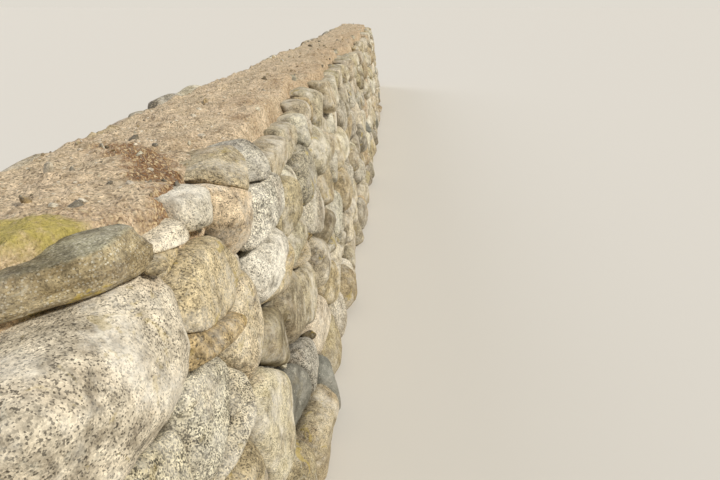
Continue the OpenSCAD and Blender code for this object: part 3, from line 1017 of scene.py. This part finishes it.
def pebbles(context):
    """Pebbles half sunk in the crust, many small and few large, and those that stand out."""
    earth = context.scene.dry_stone_earth
    materials = rocks()
    rng = np.random.default_rng(23)
    count = earth.pebbles
    run = HIGH_END - LOW_END - 2 * PEBBLE_CLEAR
    x = LOW_END + PEBBLE_CLEAR + run * rng.uniform(0, 1, count) ** PEBBLE_CROWDED
    across = rng.uniform(*PEBBLE_ACROSS, count)
    y = earth_y(x, across, earth)
    z = earth_z(x, y, across, earth)
    size = earth.pebble_size * rng.lognormal(0, PEBBLE_SPREAD, count)
    parts = []
    for k in range(count):
        half = size[k] * np.array([PEBBLE_LONG, rng.uniform(*PEBBLE_WIDE), rng.uniform(*PEBBLE_HIGH)])
        middle = np.array([x[k], y[k], z[k] - PEBBLE_SUNK * size[k]])
        near = x[k] < LOW_END + PEBBLE_NEAR
        part = chip(middle, half, PEBBLE_NEAR_LINES if near else PEBBLE_LINES, rng)
        part["soil_roots_and_shade"] *= PEBBLE_SOIL
        parts.append(dressed(part, drawn_look(rng, SMALL_TONES), rng, materials))
    along, across, above, half, *look = NEAR_FLAKE
    middle = np.array([LOW_END + along, across, WALL_TOP + above])
    part = chip(middle, np.array(half) * MM, FLAKE_LINES, rng, turned=False)
    parts.append(dressed(part, look, rng, materials))
    for along, across, half, *look in NEAR_PEBBLES:
        half = np.array(half) * MM
        bed = earth_z(np.array([LOW_END + along]), np.array([across]), np.array([0.5]), earth)[0]
        middle = np.array([LOW_END + along, across, bed + half[2] / 2])
        part = chip(middle, half, CHOSEN_LINES, rng, turned=False)
        parts.append(dressed(part, look, rng, materials))
    piece = new_piece("pebbles", joined(parts), materials.values())


# Materials

# Sockets of the mix node when it mixes colours.
FACTOR, FIRST, SECOND, MIXED = 0, 6, 7, 2


def new_material(name):
    """An empty material and its node tree."""
    material = bpy.data.materials.new(name)
    material.use_nodes = True
    material.node_tree.nodes.clear()
    return material, material.node_tree


def add(tree, kind, inputs=(), out=None, stops=(), blend="LINEAR", **settings):
    """Adds a shader node with its settings, and gives the node, or the output that is asked for. Its
    inputs go by name or in order, and each is a value, or an output to link. A colour ramp has stops,
    each a place with a colour or a grey, and how it blends them."""
    node = tree.nodes.new("ShaderNode" + kind)
    for name, value in settings.items():
        setattr(node, name, value)
    for name, value in inputs.items() if isinstance(inputs, dict) else enumerate(inputs):
        if isinstance(value, bpy.types.NodeSocket):
            tree.links.new(value, node.inputs[name])
        else:
            node.inputs[name].default_value = value
    if stops:
        node.color_ramp.interpolation = blend
        ramp = node.color_ramp.elements
        while len(ramp) < len(stops):
            ramp.new(1.0)
        for element, (place, colour) in zip(ramp, stops):
            element.position = place
            element.color = linear(colour) if isinstance(colour, str) else (colour, colour, colour, 1.0)
    return node if out is None else node.outputs[out]


def patches(tree, where, millimetres, low, high, detail=4.0, twist=0.0, rough=0.6):
    """Patches some millimetres wide: noise, drawn out so that its low value is 0 and its high 1."""
    made = add(tree, "TexNoise", {
        "Vector": where, "Scale": 1 / (millimetres * MM), "Detail": detail, "Roughness": rough,
        "Distortion": twist}, "Fac")
    return add(tree, "MapRange", {"Value": made, "From Min": low, "From Max": high}, "Result")


def laid_over(tree, colour, layers):
    """A colour with layers over it. Each layer has the values whose product says how much of it
    shows, its own colour, and whether it covers (MIX) or stains (MULTIPLY)."""
    for (shown, *others), own, how in layers:
        for other in others:
            shown = add(tree, "Math", (shown, other), 0, operation="MULTIPLY")
        colours = {FIRST: colour, SECOND: linear(own) if isinstance(own, str) else own}
        colour = add(tree, "Mix", {FACTOR: shown, **colours}, MIXED, data_type="RGBA", blend_type=how)
    return colour


def raised(tree, layers):
    """The normal of layers of relief, each on the one before: height, depth in millimetres and
    strength."""
    below = {}
    for height, deep, strength in layers:
        values = {"Height": height, "Distance": deep * MM, "Strength": strength, **below}
        below = {"Normal": add(tree, "Bump", values, "Normal")}
    return below["Normal"]


# How each rock looks: the size of its crystals in millimetres, the share of dark ones, the tones of
# its crystals from dark to light as parts of the stone's own colour, the size, colour and share of
# its specks, how much it is mottled and bleached, how much its crystals gather in dark and pale
# flocks, how strongly it is banded, how deep its pits are in millimetres, and its roughness.
ROCKS = {
    # Coarse granite, weathered by rain: cream feldspar and grey quartz with scattered black mica.
    "speckled_granite": dict(
        grain=2.7, dark=0.11, tones=(0.34, 0.7, 0.98, 1.13, 1.3),
        speck=3.7, speck_colour="#4a4438", specks=0.14,
        mottled=0.75, bleached=0.6, gathered=1.0, bands=0.0, pits=1.3, rough=0.86),
    # Salt and pepper granite: nearly as many dark crystals as pale ones, on a river-worn face.
    "peppered_granite": dict(
        grain=3.0, dark=0.24, tones=(0.24, 0.6, 1.0, 1.24, 1.42),
        speck=4.6, speck_colour="#3f3c36", specks=0.4,
        mottled=0.7, bleached=0.45, gathered=1.0, bands=0.0, pits=1.1, rough=0.84),
    # Rotten granite whose surface has gone to grit: sandy, pitted and yellow with lichen.
    "gritty_granite": dict(
        grain=3.4, dark=0.16, tones=(0.4, 0.72, 0.96, 1.16, 1.36),
        speck=4.0, speck_colour="#5a4f3c", specks=0.08,
        mottled=0.7, bleached=0.4, gathered=1.0, bands=0.15, pits=2.6, rough=0.95),
    # Gneiss: grey-brown and pale bands pressed thin, with little glitter left on the worn face.
    "banded_gneiss": dict(
        grain=2.4, dark=0.14, tones=(0.55, 0.76, 0.96, 1.08, 1.2),
        speck=4.0, speck_colour="#4a4438", specks=0.08,
        mottled=0.65, bleached=0.35, gathered=0.8, bands=0.6, pits=1.0, rough=0.88),
    # Dolerite: blue-grey, fine and even, with a dull sheen where it is worn.
    "dark_dolerite": dict(
        grain=2.0, dark=0.12, tones=(0.6, 0.8, 0.96, 1.06, 1.16),
        speck=5.0, speck_colour="#b9b5a6", specks=0.1,
        mottled=0.55, bleached=0.2, gathered=0.5, bands=0.1, pits=0.6, rough=0.76),
    # Mica schist of the slabs: grey-brown, split in level sheets, with dots of white lichen.
    "worn_schist": dict(
        grain=2.2, dark=0.14, tones=(0.55, 0.76, 0.96, 1.1, 1.24),
        speck=3.8, speck_colour="#e6e1cf", specks=0.34,
        mottled=0.7, bleached=0.16, gathered=0.7, bands=0.7, pits=1.4, rough=0.88),
}


def rock_material(name, look):
    """Weathered rock. Voronoi cells are its crystals, noise gives mottling, bleaching, lichen and
    pits, and the stone's own colour, and its soil and painted shade, come from its attributes."""
    material, tree = new_material(name)
    node = functools.partial(add, tree)
    patch = functools.partial(patches, tree)
    at = node("Attribute", out="Vector", attribute_name="pattern_at")
    tint = node("Attribute", out="Color", attribute_name="tint")
    soil_roots_and_shade = node("Attribute", out="Fac", attribute_name="soil_roots_and_shade")
    growth = node("Attribute", out="Fac", attribute_name="lichen")
    place = node("TexCoord", out="Object")

    # Crystals with shaken edges. Each has one tone, and dark ones and pale ones crowd together.
    shake = node("TexNoise", {"Vector": at, "Scale": 1 / (4 * MM), "Detail": 2.0}, "Color")
    shaken = node("VectorMath", (shake, (2 * MM,) * 3, at), 0, operation="MULTIPLY_ADD")
    crystals = node("TexVoronoi", {"Vector": shaken, "Scale": 1 / (look["grain"] * MM)})
    crowd = patch(at, 38, 0.3, 0.7, 2.0)
    lean = node("Math", (crowd, 0.5), 0, operation="SUBTRACT")
    lean = node("Math", (lean, -0.16), 0, operation="MULTIPLY")
    pick = node("SeparateColor", (crystals.outputs["Color"],), "Red")
    pick = node("Math", (pick, lean), 0, operation="ADD")
    dark = look["dark"]
    places = (0.0, dark, dark + 0.2, dark + 0.45, 0.86)
    tones = node("ValToRGB", (pick,), 0, list(zip(places, look["tones"])), "CONSTANT")

    # Specks: larger crystals of another mineral, or dots of lichen, in the middles of some cells.
    large = node("TexVoronoi", {"Vector": shaken, "Scale": 1 / (look["speck"] * MM)})
    fewer = node("Math", (crowd, 0.12), 0, operation="MULTIPLY")
    some = node("SeparateColor", (large.outputs["Color"],), "Green")
    some = node("Math", (some, fewer), 0, operation="ADD")
    some = node("Math", (some, look["specks"] + 0.06), 0, operation="LESS_THAN")
    inside = node("Math", (large.outputs["Distance"], 0.4), 0, operation="LESS_THAN")

    # Bands, flocks of crystals, yellow and grey lichen, and soil with painted shade.
    stretched = node("Mapping", {"Vector": at, "Scale": (9.0, 1.2, 1.2)}, 0)
    flocks = node("ValToRGB", (patch(at, 20, 0.3, 0.7, 5.0),), 0, ((0.0, 0.58), (0.45, 0.98), (1.0, 1.24)))
    edges = node("Math", (patch(at, 9, 0.2, 0.8, 2.0), 0.22), 0, operation="MULTIPLY")
    yellow = node("Math", (patch(at, 70, 0.45, 0.75, 5.0, 0.8), edges), 0, operation="ADD")
    yellow = node("MapRange", {"Value": yellow, "From Min": 0.62, "From Max": 0.74}, "Result")
    grey = patch(at, 28, 0.3, 0.9, 3.0, 1.2)
    grey = node("MapRange", {"Value": grey, "From Min": 0.52, "From Max": 0.6}, "Result")
    # Brown soil over the mask that also paints shade into the joints.
    dirt_and_shade = node("Math", (patch(at, 16, 0.3, 0.7), 0.5), 0, operation="SUBTRACT")
    dirt_and_shade = node("Math", (dirt_and_shade, 0.5), 0, operation="MULTIPLY")
    dirt_and_shade = node("Math", (soil_roots_and_shade, dirt_and_shade), 0, operation="ADD")
    # Near-black painted shade where a point lies deepest behind the head.
    deepest_painted_shade = node("MapRange", {"Value": soil_roots_and_shade, "From Min": 0.7, "From Max": 1.0}, "Result")

    colour = laid_over(tree, tint, (
        # The rock: crystals, specks, bands and flocks.
        ((1.0,), tones, "MULTIPLY"),
        ((some, inside, 0.75), look["speck_colour"], "MIX"),
        ((patch(stretched, 150, 0.38, 0.62, 5.0, 0.2), look["bands"]), "#8c8069", "MULTIPLY"),
        ((look["gathered"],), flocks, "MULTIPLY"),
        # The weather: grey mottles and bleached skin.
        ((patch(at, 75, 0.42, 0.62, 6.0), patch(at, 19, 0.25, 0.6), look["mottled"]), "#857e73", "MULTIPLY"),
        ((patch(at, 95, 0.46, 0.64), patch(at, 12, 0.2, 0.62), look["bleached"]), "#f4eee0", "MIX"),
        # Rust spreads over neighbouring stones.
        ((patch(place, 160, 0.54, 0.74, 6.0, 0.5), 0.35), "#b08a55", "MULTIPLY"),
        # Yellow and grey lichen.
        ((yellow, growth, 0.62), "#b7a04a", "MIX"),
        ((grey, 0.28), "#d5d0bd", "MIX"),
        # Soil with painted shade, browner the deeper behind the head, and near-black painted shade where it
        # is deepest.
        ((dirt_and_shade, soil_roots_and_shade, 0.8), "#7a694e", "MIX"),
        ((deepest_painted_shade, 0.8), "#3b3125", "MIX"),
    ))
    # Lumps, pits and crystals.
    relief = raised(tree, (
        (patch(at, 24, 0.2, 0.8, 3.0), 2.6, 0.9),
        (patch(at, 6.5, 0.25, 0.75, 3.0), look["pits"], 0.9),
        (crystals.outputs["Distance"], 0.5, 0.6),
    ))
    surface = node("BsdfPrincipled", {
        "Base Color": colour, "Roughness": look["rough"], "Specular IOR Level": 0.3, "Normal": relief}, 0)
    node("OutputMaterial", (surface,))
    return material


def rocks():
    """The rock materials by name, made once."""
    for name, look in ROCKS.items():
        if name not in bpy.data.materials:
            rock_material(name, look)
    return {name: bpy.data.materials[name] for name in ROCKS}


def rubble_material():
    """Packed rubble that only shows as glimpses between boulders: dark cells of stone in soil."""
    material, tree = new_material("packed_rubble")
    node = functools.partial(add, tree)
    place = node("TexCoord", out="Object")
    cells = node("TexVoronoi", {"Vector": place, "Scale": 1 / (60 * MM)}, "Distance")
    tone = node("ValToRGB", (cells,), 0, ((0.0, "#8d8068"), (0.45, "#6f624c"), (0.75, "#3d3426")))
    relief = raised(tree, ((cells, -20, 1.0),))
    surface = node("BsdfPrincipled", {
        "Base Color": tone, "Roughness": 0.95, "Specular IOR Level": 0.2, "Normal": relief}, 0)
    node("OutputMaterial", (surface,))
    return material


def earth_material():
    """Sun-baked sandy earth full of gravel, washed bare: pale grit and small stones in a pinkish
    sand, with dry brown roots by the front and a skin of yellow moss."""
    material, tree = new_material("gravelly_earth")
    node = functools.partial(add, tree)
    patch = functools.partial(patches, tree, rough=0.62)
    at = node("Attribute", out="Vector", attribute_name="pattern_at")
    tint = node("Attribute", out="Color", attribute_name="tint")
    roots = node("Attribute", out="Fac", attribute_name="soil_roots_and_shade")
    moss = node("Attribute", out="Fac", attribute_name="lichen")

    # Grit of many tones, and small stones in the middles of some larger cells.
    grit = node("TexVoronoi", {"Vector": at, "Scale": 1 / (4.5 * MM)})
    tones = node("SeparateColor", (grit.outputs["Color"],), "Red")
    tones = node("ValToRGB", (tones,), 0, (
        (0.0, 0.46), (0.12, 0.74), (0.36, 0.96), (0.7, 1.12), (0.9, 1.3)), "CONSTANT")
    stones = node("TexVoronoi", {"Vector": at, "Scale": 1 / (13 * MM)})
    which = node("SeparateColor", (stones.outputs["Color"],))
    some = node("Math", (which.outputs["Green"], 0.76), 0, operation="GREATER_THAN")
    inside = node("Math", (stones.outputs["Distance"], 0.34), 0, operation="LESS_THAN")
    kinds = node("ValToRGB", (which.outputs["Blue"],), 0, (
        (0.0, "#8a7f6b"), (0.3, "#c9bda2"), (0.6, "#e2dac6"), (0.85, "#a08a68")), "CONSTANT")

    # Roots lie in threads along their line, and cover most where the threads are thick.
    threads = node("Mapping", {
        "Vector": at, "Rotation": (0, 0, ROOTS_TURN), "Scale": (1.0, 0.22, 0.22)}, 0, vector_type="TEXTURE")
    thread = patch(threads, 30, 0.4, 0.6, 4.0, 0.8)
    brown = node("ValToRGB", (thread,), 0, (
        (0.0, "#38200f"), (0.35, "#764627"), (0.7, "#a87e50"), (1.0, "#dcc59b")))
    covered = node("Math", (thread, 0.6), 0, operation="ADD")
    covered = node("Math", (covered, patch(at, 14, 0.1, 0.5)), 0, operation="MULTIPLY")
    covered = node("Math", (roots, covered), 0, operation="MULTIPLY", use_clamp=True)
    # Moss of two greens.
    green = laid_over(tree, linear("#948843"), (((patch(at, 7, 0.3, 0.7, 3.0),), "#c9ba68", "MIX"),))
    grown = node("Math", (patch(at, 18, 0.2, 0.6), 0.25), 0, operation="ADD")
    grown = node("Math", (moss, grown), 0, operation="MULTIPLY", use_clamp=True)

    colour = laid_over(tree, tint, (
        # Sand of several browns, then grit and stones, then roots and moss.
        ((patch(at, 120, 0.35, 0.7),), "#c9b79a", "MIX"),
        ((patch(at, 40, 0.48, 0.68), 0.65), "#8f7a5e", "MIX"),
        ((patch(at, 13, 0.52, 0.7), 0.55), "#7d6849", "MIX"),
        ((1.0,), tones, "MULTIPLY"),
        ((some, inside, 0.85), kinds, "MIX"),
        ((covered, 0.92), brown, "MIX"),
        ((grown, 0.85), green, "MIX"),
    ))
    # Humps, sunken gaps between stones and between grit, and threads of roots.
    relief = raised(tree, (
        (patch(at, 16, 0.1, 0.9), 5, 1.0),
        (stones.outputs["Distance"], -2.5, 1.0),
        (grit.outputs["Distance"], -1.4, 1.0),
        (thread, 2, covered),
    ))
    surface = node("BsdfPrincipled", {
        "Base Color": colour, "Roughness": 0.96, "Specular IOR Level": 0.15, "Normal": relief}, 0)
    node("OutputMaterial", (surface,))
    return material


# Stage


def eye_place():
    """Where the camera stands: a standing eye above the edge, just inside the low end."""
    stage = bpy.context.scene.dry_stone_stage
    return Vector((LOW_END + stage.eye_in, stage.eye_y, stage.eye_height))


class DryStoneWallSettings(bpy.types.PropertyGroup):
    """Shapes of the boulders"""

    roundest: FloatProperty(
        name="Roundest", description="Power of the roundest boulders: low is round", default=5.5, min=2)
    squarest: FloatProperty(
        name="Squarest", description="Power of the squarest boulders: high is square", default=10.0, min=2)
    squarer: FloatProperty(
        name="Squarer", description="How many times squarer than the near boulders the others are",
        default=1.7, min=1)
    uneven: FloatProperty(
        name="Uneven face", description="How far the other boulders may stand out or back",
        default=26 * MM, unit="LENGTH", precision=4)
    flats: IntProperty(
        name="Flats", description="Faces broken off flat on each boulder", default=4, min=0, max=12)
    flat_in: FloatProperty(
        name="Flat depth", description="How far in a flat may lie, as a part of the size", default=0.84,
        min=0.5, max=1, subtype="FACTOR")
    arris: FloatProperty(
        name="Arris", description="Power of the edges round a flat: high is sharp", default=18.0, min=4)
    shared: FloatProperty(
        name="Shared", description="Share of places that two smaller stones fill", default=0.3, min=0,
        max=1, subtype="FACTOR")
    tail_drop: FloatProperty(
        name="Tail drop", description="How far a stone's top falls towards its tail, as a part of its rise",
        default=0.6, min=0, max=0.9, subtype="FACTOR")
    faced: FloatProperty(
        name="Faced", description="Share of boulders with a flat face", default=0.85, min=0, max=1,
        subtype="FACTOR")
    faced_under: FloatProperty(
        name="Faced under", description="Only boulders narrower than this have a flat face", default=0.46,
        unit="LENGTH")
    face_in: FloatVectorProperty(
        name="Face depth", description="How far in the flat face may lie, as parts of the size",
        default=(0.62, 0.8), size=2, min=0.5, max=1)
    face_tilt: FloatProperty(
        name="Face tilt", description="How far the flat face may be tilted", default=0.14, min=0, max=0.5)
    blocky: FloatProperty(
        name="Blocky", description="Share of boulders with flat sides and sharp edges", default=0.65, min=0,
        max=1, subtype="FACTOR")
    touching: FloatProperty(
        name="Touching", description="Part of a boulder that stays inside its place", default=0.74, min=0.3,
        max=1, subtype="FACTOR")
    swell: FloatProperty(
        name="Swell", description="How full a boulder fills its place", default=1.0, min=0.9, max=1.1)
    lumps: FloatProperty(
        name="Lumps", description="How uneven a boulder is, as a part of its size", default=0.08, min=0,
        max=0.3)
    relief: FloatProperty(
        name="Relief", description="Height of the small unevenness", default=3.9 * MM, unit="LENGTH",
        precision=4)
    strata: FloatProperty(
        name="Strata", description="Height of the ridges along a slab", default=3.5 * MM, unit="LENGTH",
        precision=4)
    coarsest: IntProperty(name="Far detail", description="Grid lines across a far boulder", default=8, min=4)
    near_detail: FloatProperty(
        name="Near detail", description="Extra grid lines for a near boulder", default=40, min=0)
    finest: IntProperty(name="Most detail", description="Grid lines across the nearest", default=40, min=8)


class DryStonePackingSettings(bpy.types.PropertyGroup):
    """Small stones between the boulders"""

    pinned: FloatProperty(
        name="Pinned", description="Share of holes with a pinning stone", default=0.6, min=0, max=1,
        subtype="FACTOR")
    pin_size: FloatProperty(
        name="Pin size", description="Half the usual width of a pinning stone", default=24 * MM,
        unit="LENGTH", precision=4)
    rubble_size: FloatProperty(
        name="Rubble size", description="Usual width of a packing stone", default=96 * MM, unit="LENGTH",
        precision=4)


class DryStoneEarthSettings(bpy.types.PropertyGroup):
    """The crust of earth along the top"""

    lap: FloatProperty(
        name="Front lap", description="How far the earth laps over the edge stones' tails",
        default=112 * MM, unit="LENGTH", precision=4)
    lap_back: FloatProperty(
        name="Back lap", description="How far the earth laps over the back stones' tails", default=70 * MM,
        unit="LENGTH", precision=4)
    slope: FloatProperty(
        name="Slope", description="Width of the slope at each lip, as a part of the earth's width",
        default=0.09, min=0.05, max=0.4, subtype="FACTOR")
    crown: FloatProperty(
        name="Crown", description="How far the earth stands above the bed of the slabs", default=12 * MM,
        unit="LENGTH", precision=4)
    lip: FloatProperty(
        name="Lip", description="Thickness of the lips", default=8 * MM, unit="LENGTH", precision=4)
    depth: FloatProperty(
        name="Depth", description="Thickness of the earth in its middle", default=120 * MM, unit="LENGTH",
        precision=4)
    drop: FloatProperty(
        name="Drop", description="How far the lips lie below the stones' tops", default=95 * MM,
        unit="LENGTH", precision=4)
    bank: FloatProperty(
        name="Bank", description="Height of the earth behind a slab, as a part of the slab", default=0.72,
        min=0, max=1, subtype="FACTOR")
    fine_along: IntProperty(
        name="Lines along", description="Grid lines along the earth", default=360, min=20)
    fine_across: IntProperty(name="Lines across", description="Grid lines across it", default=52, min=8)
    pebbles: IntProperty(name="Pebbles", description="Pebbles on the earth", default=400, min=0)
    pebble_size: FloatProperty(
        name="Pebble size", description="Half the usual width of a pebble", default=10 * MM, unit="LENGTH",
        precision=4)


class DryStoneStageSettings(bpy.types.PropertyGroup):
    """Camera and light"""

    eye_in: FloatProperty(
        name="Eye inside the end", description="How far the eye is past the low end", default=0.1,
        unit="LENGTH")
    eye_y: FloatProperty(name="Eye across", description="Y of the eye", default=-0.495, unit="LENGTH")
    eye_height: FloatProperty(name="Eye height", description="Height of the eye", default=1.6, unit="LENGTH")
    look_down: FloatProperty(
        name="Look down", description="How far the view is tipped down", default=math.radians(23.6),
        unit="ROTATION")
    look_aside: FloatProperty(
        name="Look aside", description="How far the view is turned to the wall's back",
        default=math.radians(1.75), unit="ROTATION")
    lens: FloatProperty(name="Lens", description="Focal length in millimetres", default=27.0, min=10)
    key: FloatProperty(name="Key light", description="Strength of the key light", default=2.9, min=0)
    fill: FloatProperty(name="Fill light", description="Strength of the sky's light", default=0.36, min=0)
    back: FloatProperty(
        name="Back light", description="Strength of the light from the back", default=0.8, min=0)
    floor: FloatVectorProperty(
        name="Floor", description="Colour of the floor", default=linear("#dad6ce"), size=4, subtype="COLOR")


# Half the floor's width.
FLOOR_HALF = 300.0


def make_stage(context):
    """A plain pale floor, a soft key light from behind the eye, a weaker one from the back, a pale sky
    and the camera."""
    stage = context.scene.dry_stone_stage
    mesh = bpy.data.meshes.new("floor")
    corners = [(x * FLOOR_HALF, y * FLOOR_HALF, 0) for x, y in ((-1, -1), (1, -1), (1, 1), (-1, 1))]
    mesh.from_pydata(corners, [], [(0, 1, 2, 3)])
    floor = bpy.data.objects.new("floor", mesh)
    context.scene.collection.objects.link(floor)
    material, tree = new_material("pale_floor")
    surface = add(tree, "BsdfPrincipled", {
        "Base Color": tuple(stage.floor), "Roughness": 0.9, "Specular IOR Level": 0.1}, 0)
    add(tree, "OutputMaterial", (surface,))
    mesh.materials.append(material)

    for name, strength, angle, colour, come_from in (
        ("key", stage.key, 10, "#fffaf0", (-0.3, -0.85, 0.8)),
        ("back light", stage.back, 40, "#f4f6ff", (0.5, 0.85, 0.6)),
    ):
        light = bpy.data.lights.new(name, "SUN")
        light.energy = strength
        light.angle = math.radians(angle)
        light.color = linear(colour)[:3]
        lamp = bpy.data.objects.new(name, light)
        lamp.rotation_euler = Vector(come_from).to_track_quat("Z", "Y").to_euler()
        context.scene.collection.objects.link(lamp)

    world = bpy.data.worlds.new("pale_sky")
    context.scene.world = world
    world.use_nodes = True
    tree = world.node_tree
    tree.nodes.clear()
    rays = add(tree, "LightPath").outputs
    seen = add(tree, "Math", (rays["Is Camera Ray"], rays["Is Glossy Ray"]), 0, operation="MAXIMUM")
    seen = add(tree, "Math", (seen, rays["Is Transmission Ray"]), 0, operation="MAXIMUM")
    light = add(tree, "Background", {"Color": linear("#f4f6fa"), "Strength": stage.fill}, 0)
    pale = add(tree, "Background", {"Color": linear("#e0dbd0"), "Strength": 1.0}, 0)
    both = add(tree, "MixShader", (seen, light, pale), 0)
    add(tree, "OutputWorld", (both,))

    camera = bpy.data.cameras.new("eye")
    camera.lens = stage.lens
    camera.sensor_width = 36.0
    camera.clip_start = 0.02
    camera.clip_end = 1000.0
    eye = bpy.data.objects.new("eye", camera)
    eye.location = eye_place()
    eye.rotation_euler = (math.pi / 2 - stage.look_down, 0, stage.look_aside - math.pi / 2)
    context.scene.collection.objects.link(eye)
    context.scene.camera = eye
    context.scene.view_settings.view_transform = "Standard"


class DRYSTONE_OT_stage(bpy.types.Operator):
    """Make the floor, the light and the camera"""

    bl_idname = "drystone.stage"
    bl_label = "Stage"

    def execute(self, context):
        make_stage(context)
        return {"FINISHED"}


class DRYSTONE_OT_face_stones(bpy.types.Operator):
    """Lay the face's boulders"""

    bl_idname = "drystone.face_stones"
    bl_label = "Face stones"

    def execute(self, context):
        boulders(context, "face_stones")
        return {"FINISHED"}


class DRYSTONE_OT_edge_stones(bpy.types.Operator):
    """Lay the face's top course"""

    bl_idname = "drystone.edge_stones"
    bl_label = "Edge stones"

    def execute(self, context):
        boulders(context, "edge_stones")
        return {"FINISHED"}


class DRYSTONE_OT_footing_stones(bpy.types.Operator):
    """Lay the lowest course of both sides"""

    bl_idname = "drystone.footing_stones"
    bl_label = "Footing stones"

    def execute(self, context):
        boulders(context, "footing_stones")
        return {"FINISHED"}


class DRYSTONE_OT_back_stones(bpy.types.Operator):
    """Lay the back's boulders"""

    bl_idname = "drystone.back_stones"
    bl_label = "Back stones"

    def execute(self, context):
        boulders(context, "back_stones")
        return {"FINISHED"}


class DRYSTONE_OT_slabs(bpy.types.Operator):
    """Lay the flat slabs on the edge"""

    bl_idname = "drystone.slabs"
    bl_label = "Edge slabs"

    def execute(self, context):
        slabs(context)
        return {"FINISHED"}


class DRYSTONE_OT_pinning_stones(bpy.types.Operator):
    """Wedge small stones into the holes of both sides"""

    bl_idname = "drystone.pinning_stones"
    bl_label = "Pinning stones"

    def execute(self, context):
        pinning_stones(context)
        return {"FINISHED"}


class DRYSTONE_OT_end_rubble(bpy.types.Operator):
    """Pack the plain ends with rubble"""

    bl_idname = "drystone.end_rubble"
    bl_label = "End rubble"

    def execute(self, context):
        end_rubble(context)
        return {"FINISHED"}


class DRYSTONE_OT_earth(bpy.types.Operator):
    """Spread the crust of earth and its pebbles"""

    bl_idname = "drystone.earth"
    bl_label = "Earth and pebbles"

    def execute(self, context):
        earth_crust(context)
        pebbles(context)
        return {"FINISHED"}


class DRYSTONE_PT_panel(bpy.types.Panel):
    """The wall's pieces and their sizes"""

    bl_label = "Dry stone wall"
    bl_space_type = "VIEW_3D"
    bl_region_type = "UI"
    bl_category = "Dry stone wall"

    def draw(self, context):
        for group in SETTINGS:
            settings = getattr(context.scene, group)
            for name in settings.__annotations__:
                self.layout.prop(settings, name)
        for operator in OPERATORS:
            self.layout.operator(operator.bl_idname)


SETTINGS = {
    "dry_stone_wall": DryStoneWallSettings,
    "dry_stone_packing": DryStonePackingSettings,
    "dry_stone_earth": DryStoneEarthSettings,
    "dry_stone_stage": DryStoneStageSettings,
}
OPERATORS = (
    DRYSTONE_OT_stage,
    DRYSTONE_OT_face_stones,
    DRYSTONE_OT_edge_stones,
    DRYSTONE_OT_footing_stones,
    DRYSTONE_OT_back_stones,
    DRYSTONE_OT_slabs,
    DRYSTONE_OT_pinning_stones,
    DRYSTONE_OT_end_rubble,
    DRYSTONE_OT_earth,
)


def register():
    for cls in (*SETTINGS.values(), *OPERATORS, DRYSTONE_PT_panel):
        bpy.utils.register_class(cls)
    for name, cls in SETTINGS.items():
        setattr(bpy.types.Scene, name, PointerProperty(type=cls))


def unregister():
    for name in SETTINGS:
        delattr(bpy.types.Scene, name)
    for cls in reversed((*SETTINGS.values(), *OPERATORS, DRYSTONE_PT_panel)):
        bpy.utils.unregister_class(cls)


def main():
    register()
    for operator in OPERATORS:
        group, name = operator.bl_idname.split(".")
        getattr(getattr(bpy.ops, group), name)()


if __name__ == "__main__":
    main()
